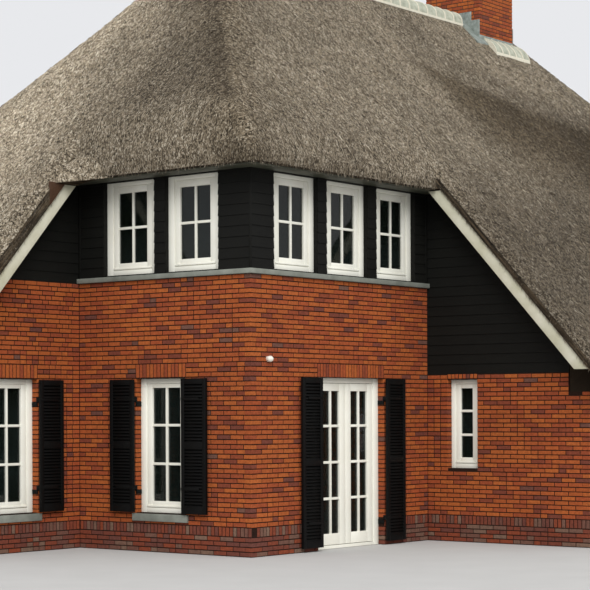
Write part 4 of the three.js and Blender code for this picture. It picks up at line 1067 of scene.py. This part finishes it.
class COTTAGE_OT_boarding(bpy.types.Operator):
    """Nails the black boards on the upper storey and the gables"""
    bl_idname = "cottage.boarding"
    bl_label = "Boarding"

    def execute(self, context):
        settings = context.scene.cottage_boards
        span = (BAND_TOP + 0.002, RAISED_SEAT - 0.02)
        front = [u for o in sorted(UPPER_FRONT) for u in o[:2]]
        side = [u for o in UPPER_SIDE for u in o[:2]]
        for name, wall, edges in (
                ("upper_front_boards", FRONT, [LEFT_WING_X + 0.002, *front, CORNER_X - 0.022]),
                ("upper_side_boards", SIDE, [CORNER_Y + 0.022, *side, RIGHT_WING_Y - 0.002])):
            piece = begin(name)
            for u0, u1 in zip(edges[::2], edges[1::2]):
                self.boards(wall, lambda z: (u0 + 0.001, u1 - 0.001), span, settings, 0.03)
            finish_piece(piece, "board", angle=20)
        self.gable("left_gable_boards", LEFT_WING, left_slope_at(BRICK_TOP) - 0.02, CORNER_Y - 0.003,
                   BRICK_TOP + 0.003, HIP_PLANE, -1, settings)
        self.gable("right_gable_boards", RIGHT_WING, CORNER_X + 0.003, WING_END,
                   WING_BRICK_TOP + 0.003, RIDGE_PLANE, 1, settings)
        beads = begin("board_corner_beads")
        block(FRONT, (CORNER_X - 0.03, CORNER_X), span, (-0.03, 0.0))
        block(FRONT, (LEFT_WING_X + 0.001, LEFT_WING_X + 0.028), span, (-0.021, 0.004))
        block(SIDE, (RIGHT_WING_Y - 0.028, RIGHT_WING_Y - 0.001), span, (-0.021, 0.004))
        finish_piece(beads, "board", bevel=0.003)
        return {"FINISHED"}

    def boards(self, wall, ends, span, settings, rest=0.0):
        """Boards one over the other, each thick at its lower edge and thin where the next laps it."""
        z, high = span
        whole = settings.exposure + settings.lap
        while z < high - rest:
            u0, u1 = ends(z)
            height = min(whole, high - z)
            if height >= 0.03 and u1 - u0 >= 0.01:
                section = [(BOARD_BACK, z), (-0.001, z), (-0.002, z + 0.004),
                           (-0.001 - 0.0125 * height / whole, z + height), (BOARD_BACK, z + height)]
                prism([wall.at(u0, v, w) for w, v in section], wall.along * (u1 - u0))
            z += settings.exposure

    def gable(self, name, wall, u0, u1, low, plane, sign, settings):
        """Boards that are cut off along the underside of the thatch."""
        piece = begin(name)
        reach = lambda z: sign * (plane - THATCH_DROP - z) / PITCH
        ends = lambda z: (max(u0, reach(z)), u1) if sign < 0 else (u0, min(u1, reach(z)))
        self.boards(wall, ends, (low, RAISED_SEAT + 0.4), settings)
        bpy.ops.mesh.select_all(action="SELECT")
        normal = (wall.along * sign * PITCH + Vector((0, 0, 1))).normalized()
        bpy.ops.mesh.bisect(plane_co=wall.at(reach(4.004), 4.0, 0), plane_no=normal, use_fill=True,
                            clear_outer=True)
        finish_piece(piece, "board", angle=20)


# Joinery: a style is the (side, bottom, top) widths of frame and sash, the columns and rows of
# panes, and how far the face, the back and the glass stand from the wall's face

UPPER_STYLE = ((0.108, 0.07, 0.056), (0.092, 0.092, 0.09), 2, 2, -UPPER_SET_BACK, -0.15, -0.118)
LOWER_STYLE = ((0.1, 0.065, 0.065), (0.0945, 0.087, 0.055), 2, 3, -SET_BACK, -0.18, -0.142)
NARROW_STYLE = ((0.07, 0.065, 0.06), (0.08, 0.085, 0.06), 1, 3, -SET_BACK, -0.18, -0.142)
WING_STYLE = ((0.09, 0.065, 0.06), (0.085, 0.08, 0.06), 2, 2, -SET_BACK, -0.18, -0.142)
FIT, SASH_GAP, REBATE = 0.0005, 0.003, 0.012


class JoinerySettings(bpy.types.PropertyGroup):
    bevel: length("Arris", "Rounding of painted edges", 0.004)
    bar: length("Glazing bar", "Width of a glazing bar", 0.035)


def inside(area, gap):
    left, right, bottom, top = area
    return (left + gap, right - gap, bottom + gap, top - gap)


def bars(wall, area, cols, rows, front, back, bar):
    left, right, bottom, top = area
    wide, high = (right - left + bar) / cols, (top - bottom + bar) / rows
    for i in range(1, cols):
        u = left + i * wide - bar
        block(wall, (u, u + bar), (bottom - 0.005, top + 0.005), (back, front))
    for j in range(1, rows):
        z = bottom + j * high - bar
        block(wall, (left - 0.005, right + 0.005), (z, z + bar), (back + 0.002, front - 0.001))


class COTTAGE_OT_windows(bpy.types.Operator):
    """Makes the window frames, sashes, bars and panes"""
    bl_idname = "cottage.windows"
    bl_label = "Windows"

    def execute(self, context):
        settings = context.scene.cottage_joinery
        panes = []
        for end, wall, o in (("front_window_right", FRONT, UPPER_FRONT[0]),
                             ("front_window_left", FRONT, UPPER_FRONT[1]),
                             ("side_window_near", SIDE, UPPER_SIDE[0]),
                             ("side_window_middle", SIDE, UPPER_SIDE[1]),
                             ("side_window_far", SIDE, UPPER_SIDE[2])):
            panes += self.windows("upper_" + end, "upper_" + end, wall, [o], UPPER_STYLE, settings)
        self.glass("upper_window_panes", panes, ("upper_glass",))
        for name, wall, o, replaces in (("front_window_frame", FRONT, FRONT_WINDOW, ("front_window_glass",)),
                                        ("left_wing_window", LEFT_WING, LEFT_WINDOW, ())):
            panes = self.windows(name, name, wall, [o], LOWER_STYLE, settings)
            pintles(name, wall, o)
            self.glass(name + "_panes", panes, replaces)
        others = [("narrow_window", "right_wing_narrow_window", RIGHT_WING, [NARROW_WINDOW], NARROW_STYLE)]
        others += [(name, name + "_windows", wall, row_openings(name), WING_STYLE)
                   for name, (wall, *_) in ROWS.items()]
        for name, *window in others:
            self.glass(name + "_panes", self.windows(name, *window, settings), ())
        return {"FINISHED"}

    def windows(self, name, node_name, wall, openings, style, settings):
        """Fixed frames with an inner sash, its bars and a weather bar; gives the places of the panes."""
        frame_widths, sash_widths, cols, rows, face, back, glass = style
        front = face - 0.01
        panes = []
        piece = begin(name + "_joinery")
        for o in openings:
            area = frame_of(wall, inside(o, FIT), frame_widths, (back, face))
            sash = inside(area, SASH_GAP)
            area = frame_of(wall, sash, sash_widths, (back + 0.01, front))
            block(wall, (sash[0] + 0.004, sash[1] - 0.004), (sash[2] + 0.006, sash[2] + 0.03),
                  (front - 0.004, front + 0.014))
            bars(wall, area, cols, rows, front - 0.006, front - 0.04, settings.bar)
            panes.append((wall, area, glass))
        finish_piece(piece, "white", bevel=settings.bevel, replaces=(node_name,))
        return panes

    def glass(self, name, panes, replaces):
        piece = begin(name)
        for wall, area, w in panes:
            left, right, bottom, top = inside(area, -REBATE)
            block(wall, (left, right), (bottom, top), (w - 0.006, w))
        finish_piece(piece, "glass", replaces=replaces)


def knuckles(o):
    """The heights where a shutter's knuckles stand on their pintles."""
    return (o[2] + SHUTTER_CLEAR + PINTLE_END_GAP, o[3] - SHUTTER_CLEAR - PINTLE_END_GAP)


def pintles(name, wall, o):
    """Makes the iron plates and tabs that carry the shutters' knuckles."""
    piece = begin(name + "_pintles")
    for edge, inward in ((o[0], 1), (o[1], -1)):
        near = edge + inward * 0.0025
        for knuckle in knuckles(o):
            z = (knuckle - 0.0604, knuckle - 0.0004)
            block(wall, (near, near + inward * 0.006), z, (-SET_BACK - 0.005, AXIS_OUT + 0.008))
            block(wall, (near, near + inward * 0.02), z, (AXIS_OUT - 0.008, AXIS_OUT + 0.008))
    finish_piece(piece, "black", bevel=0.001)


DOOR_SHUTTER_SPAN = (DOOR[0], DOOR[1], DOOR_STEP, DOOR[3])


class COTTAGE_OT_french_doors(bpy.types.Operator):
    """Makes the French doors with their frame, stiles, rails and bars"""
    bl_idname = "cottage.french_doors"
    bl_label = "French doors"

    def execute(self, context):
        settings = context.scene.cottage_joinery
        left, right, _, top = DOOR
        front, rear = -LEAF_SET_BACK, -LEAF_SET_BACK - LEAF_DEPTH
        piece = begin("french_door_frame_joinery")
        frame_of(SIDE, (left + FIT, right - FIT, 0.001, top - FIT),
                 (DOOR_JAMB - FIT, DOOR_STEP - 0.001, 0.07 - FIT), (rear - FIT, -SET_BACK))
        for edge, inward in ((left, 1), (right, -1)):
            for height in DOOR_HINGES:
                self.hinge(edge + inward * DOOR_AXIS_IN, -inward, rear - FIT, height - 0.0404)
        finish_piece(piece, "white", bevel=0.003, replaces=("french_door_frame",))
        pintles("french_door", SIDE, DOOR_SHUTTER_SPAN)
        for hinge, edge, inward in (("left", left, 1), ("right", right, -1)):
            start = edge + inward * (DOOR_JAMB + LEAF_CLEAR)
            u0, u1 = sorted((start, start + inward * LEAF_WIDTH))
            piece = begin(f"french_door_{hinge}_joinery")
            area = frame_of(SIDE, (u0, u1, LEAF_BOTTOM, LEAF_TOP), (0.125, 0.152, 0.103), (rear, front))
            bars(SIDE, area, 2, 4, front - 0.004, front - 0.029, settings.bar)
            for height in DOOR_HINGES:
                self.hinge(edge + inward * DOOR_AXIS_IN, inward, rear, height)
            finish_piece(piece, "white", body=f"door_{hinge}", bevel=0.003,
                         replaces=(f"french_door_{hinge}",))
        return {"FINISHED"}

    def hinge(self, u, sideways, back, z):
        block(SIDE, (u, u + sideways * 0.04), (z, z + 0.04), (back - 0.003, back + 0.001))
        place = SIDE.at(u, z + 0.02, -DOOR_AXIS_BACK)
        bpy.ops.mesh.primitive_cylinder_add(vertices=16, radius=0.0065, depth=0.04, location=place)


class ShutterSettings(bpy.types.PropertyGroup):
    stile: length("Stile", "Width of a shutter's stiles", 0.057)
    slat_pitch: length("Slat pitch", "Height from slat to slat", 0.042)
    slat_tilt: bpy.props.FloatProperty(
        name="Slat tilt", description="How far the slats lean", default=math.radians(38), subtype="ANGLE")


class COTTAGE_OT_shutters(bpy.types.Operator):
    """Makes the louvred shutters with their arms and knuckles"""
    bl_idname = "cottage.shutters"
    bl_label = "Shutters"

    def execute(self, context):
        settings = context.scene.cottage_shutters
        for node_name, wall, o, out, body in (
                ("front_shutter_left", FRONT, FRONT_WINDOW, -1, "window_shutter_left"),
                ("front_shutter_right", FRONT, FRONT_WINDOW, 1, "window_shutter_right"),
                ("left_wing_shutter_far", LEFT_WING, LEFT_WINDOW, -1, "wing_shutter_far"),
                ("left_wing_shutter_near", LEFT_WING, LEFT_WINDOW, 1, "wing_shutter_near"),
                ("door_shutter_left", SIDE, DOOR_SHUTTER_SPAN, -1, "door_shutter_left"),
                ("door_shutter_right", SIDE, DOOR_SHUTTER_SPAN, 1, "door_shutter_right")):
            piece = begin(node_name + "_louvres")
            self.louvres(wall, o, out, settings)
            self.ironwork(wall, o, out)
            finish_piece(piece, "black", body=body, bevel=0.002, replaces=(node_name,))
        return {"FINISHED"}

    def louvres(self, wall, o, out, settings):
        edge = o[0] if out < 0 else o[1]
        bottom, top = o[2] + SHUTTER_CLEAR, o[3] - SHUTTER_CLEAR
        u0, u1 = sorted((edge - out * SHUTTER_OVERLAP, edge + out * (SHUTTER_WIDTH - SHUTTER_OVERLAP)))
        inner = (u0 + settings.stile, u1 - settings.stile)
        back, front = SHUTTER_OUT, SHUTTER_OUT + SHUTTER_THICK
        core, middle = (back + front) / 2, (bottom + top) / 2
        rails = [(bottom, bottom + 0.09), (middle - 0.04, middle + 0.04), (top - 0.075, top)]
        for u in ((u0, inner[0]), (inner[1], u1)):
            block(wall, u, (bottom, top), (back, front))
        for rail in rails:
            block(wall, inner, rail, (back + 0.001, front - 0.001))
        for (_, low), (high, _) in zip(rails, rails[1:]):
            count = int((high - low) / settings.slat_pitch)
            for i in range(count):
                z = low + (i + 0.5) * (high - low) / count
                block(wall, (inner[0] - 0.004, inner[1] + 0.004), (z - 0.027, z + 0.027),
                      (core - 0.0035, core + 0.0035), settings.slat_tilt)

    def ironwork(self, wall, o, out):
        """The arms, knuckles and straps of one shutter."""
        edge = o[0] if out < 0 else o[1]
        front = SHUTTER_OUT + SHUTTER_THICK
        for z in knuckles(o):
            block(wall, (edge - out * SHUTTER_OVERLAP, edge - out * 0.008), (z, z + KNUCKLE_LENGTH),
                  (AXIS_OUT + 0.003, SHUTTER_OUT + 0.005))
            bpy.ops.mesh.primitive_cylinder_add(
                vertices=16, radius=KNUCKLE_RADIUS, depth=KNUCKLE_LENGTH,
                location=wall.at(edge - out * AXIS_IN, z + KNUCKLE_LENGTH / 2, AXIS_OUT))
            block(wall, (edge - out * SHUTTER_OVERLAP, edge + out * 0.3), (z + 0.012, z + 0.048),
                  (front - 0.001, front + 0.004))


# Stone, trim, the sensor and the CAD nodes


class COTTAGE_OT_trim(bpy.types.Operator):
    """Finishes the stone band and sills, bargeboards, soffit and the wall sensor"""
    bl_idname = "cottage.trim"
    bl_label = "Stone and trim"

    def execute(self, context):
        for node_name, name, kind, bevel in (
                ("sill_band", "stone_band", "stone", 0.005),
                ("front_window_sill", "front_sill_stone", "stone", 0.005),
                ("left_wing_window_sill", "left_wing_sill_stone", "stone", 0.005),
                # The bargeboards' greyer cream is partly painted shade under the verge
                ("left_bargeboard", "left_bargeboard_moulded", "weathered", 0.004),
                ("right_bargeboard", "right_bargeboard_moulded", "weathered", 0.004),
                # The soffit's dark olive paint is painted shade under the eave
                ("eave_soffit", "eave_soffit_boards", "olive_eave_shade", 0.002)):
            self.softened(node_name, name, kind, bevel)
        self.sensor()
        self.rafter_foot()
        return {"FINISHED"}

    def softened(self, node_name, name, kind, bevel):
        """A copy of a CAD node with its loose triangles merged and its edges rounded."""
        piece = frame["nodes"][node_name].copy()
        piece.name, piece.data = name, piece.data.copy()
        bpy.context.scene.collection.objects.link(piece)
        piece.parent = None
        piece.matrix_world = Matrix.Identity(4)
        piece.data.materials.clear()
        select_only(piece)
        bpy.ops.object.mode_set(mode="EDIT")
        bpy.ops.mesh.select_all(action="SELECT")
        bpy.ops.mesh.remove_doubles(threshold=0.0001)
        bpy.ops.mesh.dissolve_limited(angle_limit=math.radians(1))
        finish_piece(piece, kind, bevel=bevel, replaces=(node_name,))

    def sensor(self):
        place = SIDE.at(CORNER_Y + 0.333, 2.555, 0.0)
        piece = begin("wall_sensor")
        bpy.ops.mesh.primitive_cylinder_add(
            vertices=24, radius=0.035, depth=0.03, location=place + SIDE.out * 0.018,
            rotation=(0, math.pi / 2, 0))
        bpy.ops.mesh.primitive_uv_sphere_add(
            segments=24, ring_count=12, radius=0.045, location=place + SIDE.out * 0.045,
            scale=(1.0, 1.1, 0.9))
        finish_piece(piece, "shell")

    def rafter_foot(self):
        """The stained rafter foot at the head of the left bargeboard."""
        piece = begin("verge_rafter_foot")
        outline = [(-8.015, 4.96), (-8.015, 4.643), (-7.72, 4.964)]
        prism([LEFT_WING.at(y, z, 0.33) for y, z in outline], (0.034, 0, 0))
        finish_piece(piece, "brown", bevel=0.004)


class COTTAGE_OT_finishes(bpy.types.Operator):
    """Gives the CAD nodes that still show their materials"""
    bl_idname = "cottage.finishes"
    bl_label = "Finishes"

    def execute(self, context):
        slots = {entry["node"]: entry["material_slot"] for entry in frame["record"]["subparts"]}
        for name, part in frame["nodes"].items():
            made = MATERIALS["pale_mortar" if name == "chimney_stack" else CAD_FINISHES[slots[name]]]
            if not part.material_slots:
                part.data.materials.append(made)
            for slot in part.material_slots:
                slot.link = "OBJECT"
                slot.material = made
        return {"FINISHED"}


# Stage


class StageSettings(bpy.types.PropertyGroup):
    sky: bpy.props.FloatVectorProperty(
        name="Sky", description="Colour of the soft light all round", subtype="COLOR",
        default=linear(0xe8e9ec))
    sky_strength: bpy.props.FloatProperty(
        name="Sky strength", description="Brightness of the soft light all round", default=1.0)
    lamp_strength: bpy.props.FloatProperty(
        name="Lamp strength", description="Brightness of the key light", default=2.5)
    lamp_angle: bpy.props.FloatProperty(
        name="Lamp size", description="How wide the key light stands in the sky", subtype="ANGLE",
        default=math.radians(47))


class COTTAGE_OT_stage(bpy.types.Operator):
    """Sets the pale floor, the soft light and the camera"""
    bl_idname = "cottage.stage"
    bl_label = "Stage"

    def execute(self, context):
        settings = context.scene.cottage_stage
        select_only()
        bpy.ops.mesh.primitive_circle_add(vertices=64, radius=150, fill_type="NGON", location=(0, 0, -0.003))
        floor = bpy.context.object
        floor.name = "studio_floor"
        bpy.ops.object.transform_apply(location=True, rotation=False, scale=False)
        floor.data.materials.append(MATERIALS["floor"])
        world = bpy.data.worlds.new("studio_sky")
        world.use_nodes = True
        sky = world.node_tree.nodes["Background"]
        sky.inputs["Color"].default_value = (*settings.sky, 1)
        sky.inputs["Strength"].default_value = settings.sky_strength
        context.scene.world = world
        bpy.ops.object.light_add(type="SUN", location=LAMP_PLACE)
        lamp = bpy.context.object
        lamp.name = "key_light"
        lamp.data.angle, lamp.data.energy = settings.lamp_angle, settings.lamp_strength
        lamp.rotation_euler = (LAMP_PLACE - LAMP_AIM).to_track_quat("Z", "Y").to_euler()
        self.camera(context)
        context.scene.view_settings.view_transform = "Standard"
        return {"FINISHED"}

    def camera(self, context):
        data = bpy.data.cameras.new("photo_camera")
        data.lens, data.sensor_width = CAMERA_LENS, 36
        data.shift_y, data.clip_end = CAMERA_SHIFT, 400
        camera = new_piece("photo_camera", data)
        camera.matrix_world = (
            Matrix.Translation(CAMERA_PLACE) @ Matrix.Rotation(CAMERA_AZIMUTH, 4, "Z")
            @ Matrix.Rotation(math.pi / 2, 4, "X") @ Matrix.Rotation(-CAMERA_ROLL, 4, "Z"))
        context.scene.camera = camera


class COTTAGE_PT_panel(bpy.types.Panel):
    """Lists the steps that build the cottage"""
    bl_idname = "COTTAGE_PT_panel"
    bl_label = "Thatched Cottage"
    bl_space_type = "VIEW_3D"
    bl_region_type = "UI"
    bl_category = "Cottage"

    def draw(self, context):
        for operator in OPERATORS:
            self.layout.operator(operator.bl_idname)
        for name in SETTINGS:
            group = getattr(context.scene, name)
            box = self.layout.box()
            for prop in group.bl_rna.properties:
                if not prop.is_readonly and prop.identifier != "name":
                    box.prop(group, prop.identifier)


SETTINGS = {
    "cottage_bricks": BrickSettings,
    "cottage_thatch": ThatchSettings,
    "cottage_ridge": RidgeSettings,
    "cottage_boards": BoardSettings,
    "cottage_joinery": JoinerySettings,
    "cottage_shutters": ShutterSettings,
    "cottage_stage": StageSettings,
}
OPERATORS = [
    COTTAGE_OT_stage, COTTAGE_OT_finishes, COTTAGE_OT_thatch, COTTAGE_OT_ridge, COTTAGE_OT_brickwork,
    COTTAGE_OT_boarding, COTTAGE_OT_windows, COTTAGE_OT_french_doors, COTTAGE_OT_shutters, COTTAGE_OT_trim,
]
CLASSES = [*SETTINGS.values(), *OPERATORS, COTTAGE_PT_panel]


def register():
    for made in CLASSES:
        bpy.utils.register_class(made)
    for name, group in SETTINGS.items():
        setattr(bpy.types.Scene, name, bpy.props.PointerProperty(type=group))


def unregister():
    for name in SETTINGS:
        delattr(bpy.types.Scene, name)
    for made in reversed(CLASSES):
        bpy.utils.unregister_class(made)


def main():
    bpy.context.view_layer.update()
    register()
    make_materials()
    for operator in OPERATORS:
        area, name = operator.bl_idname.split(".")
        getattr(getattr(bpy.ops, area), name)()


if __name__ == "__main__":
    main()
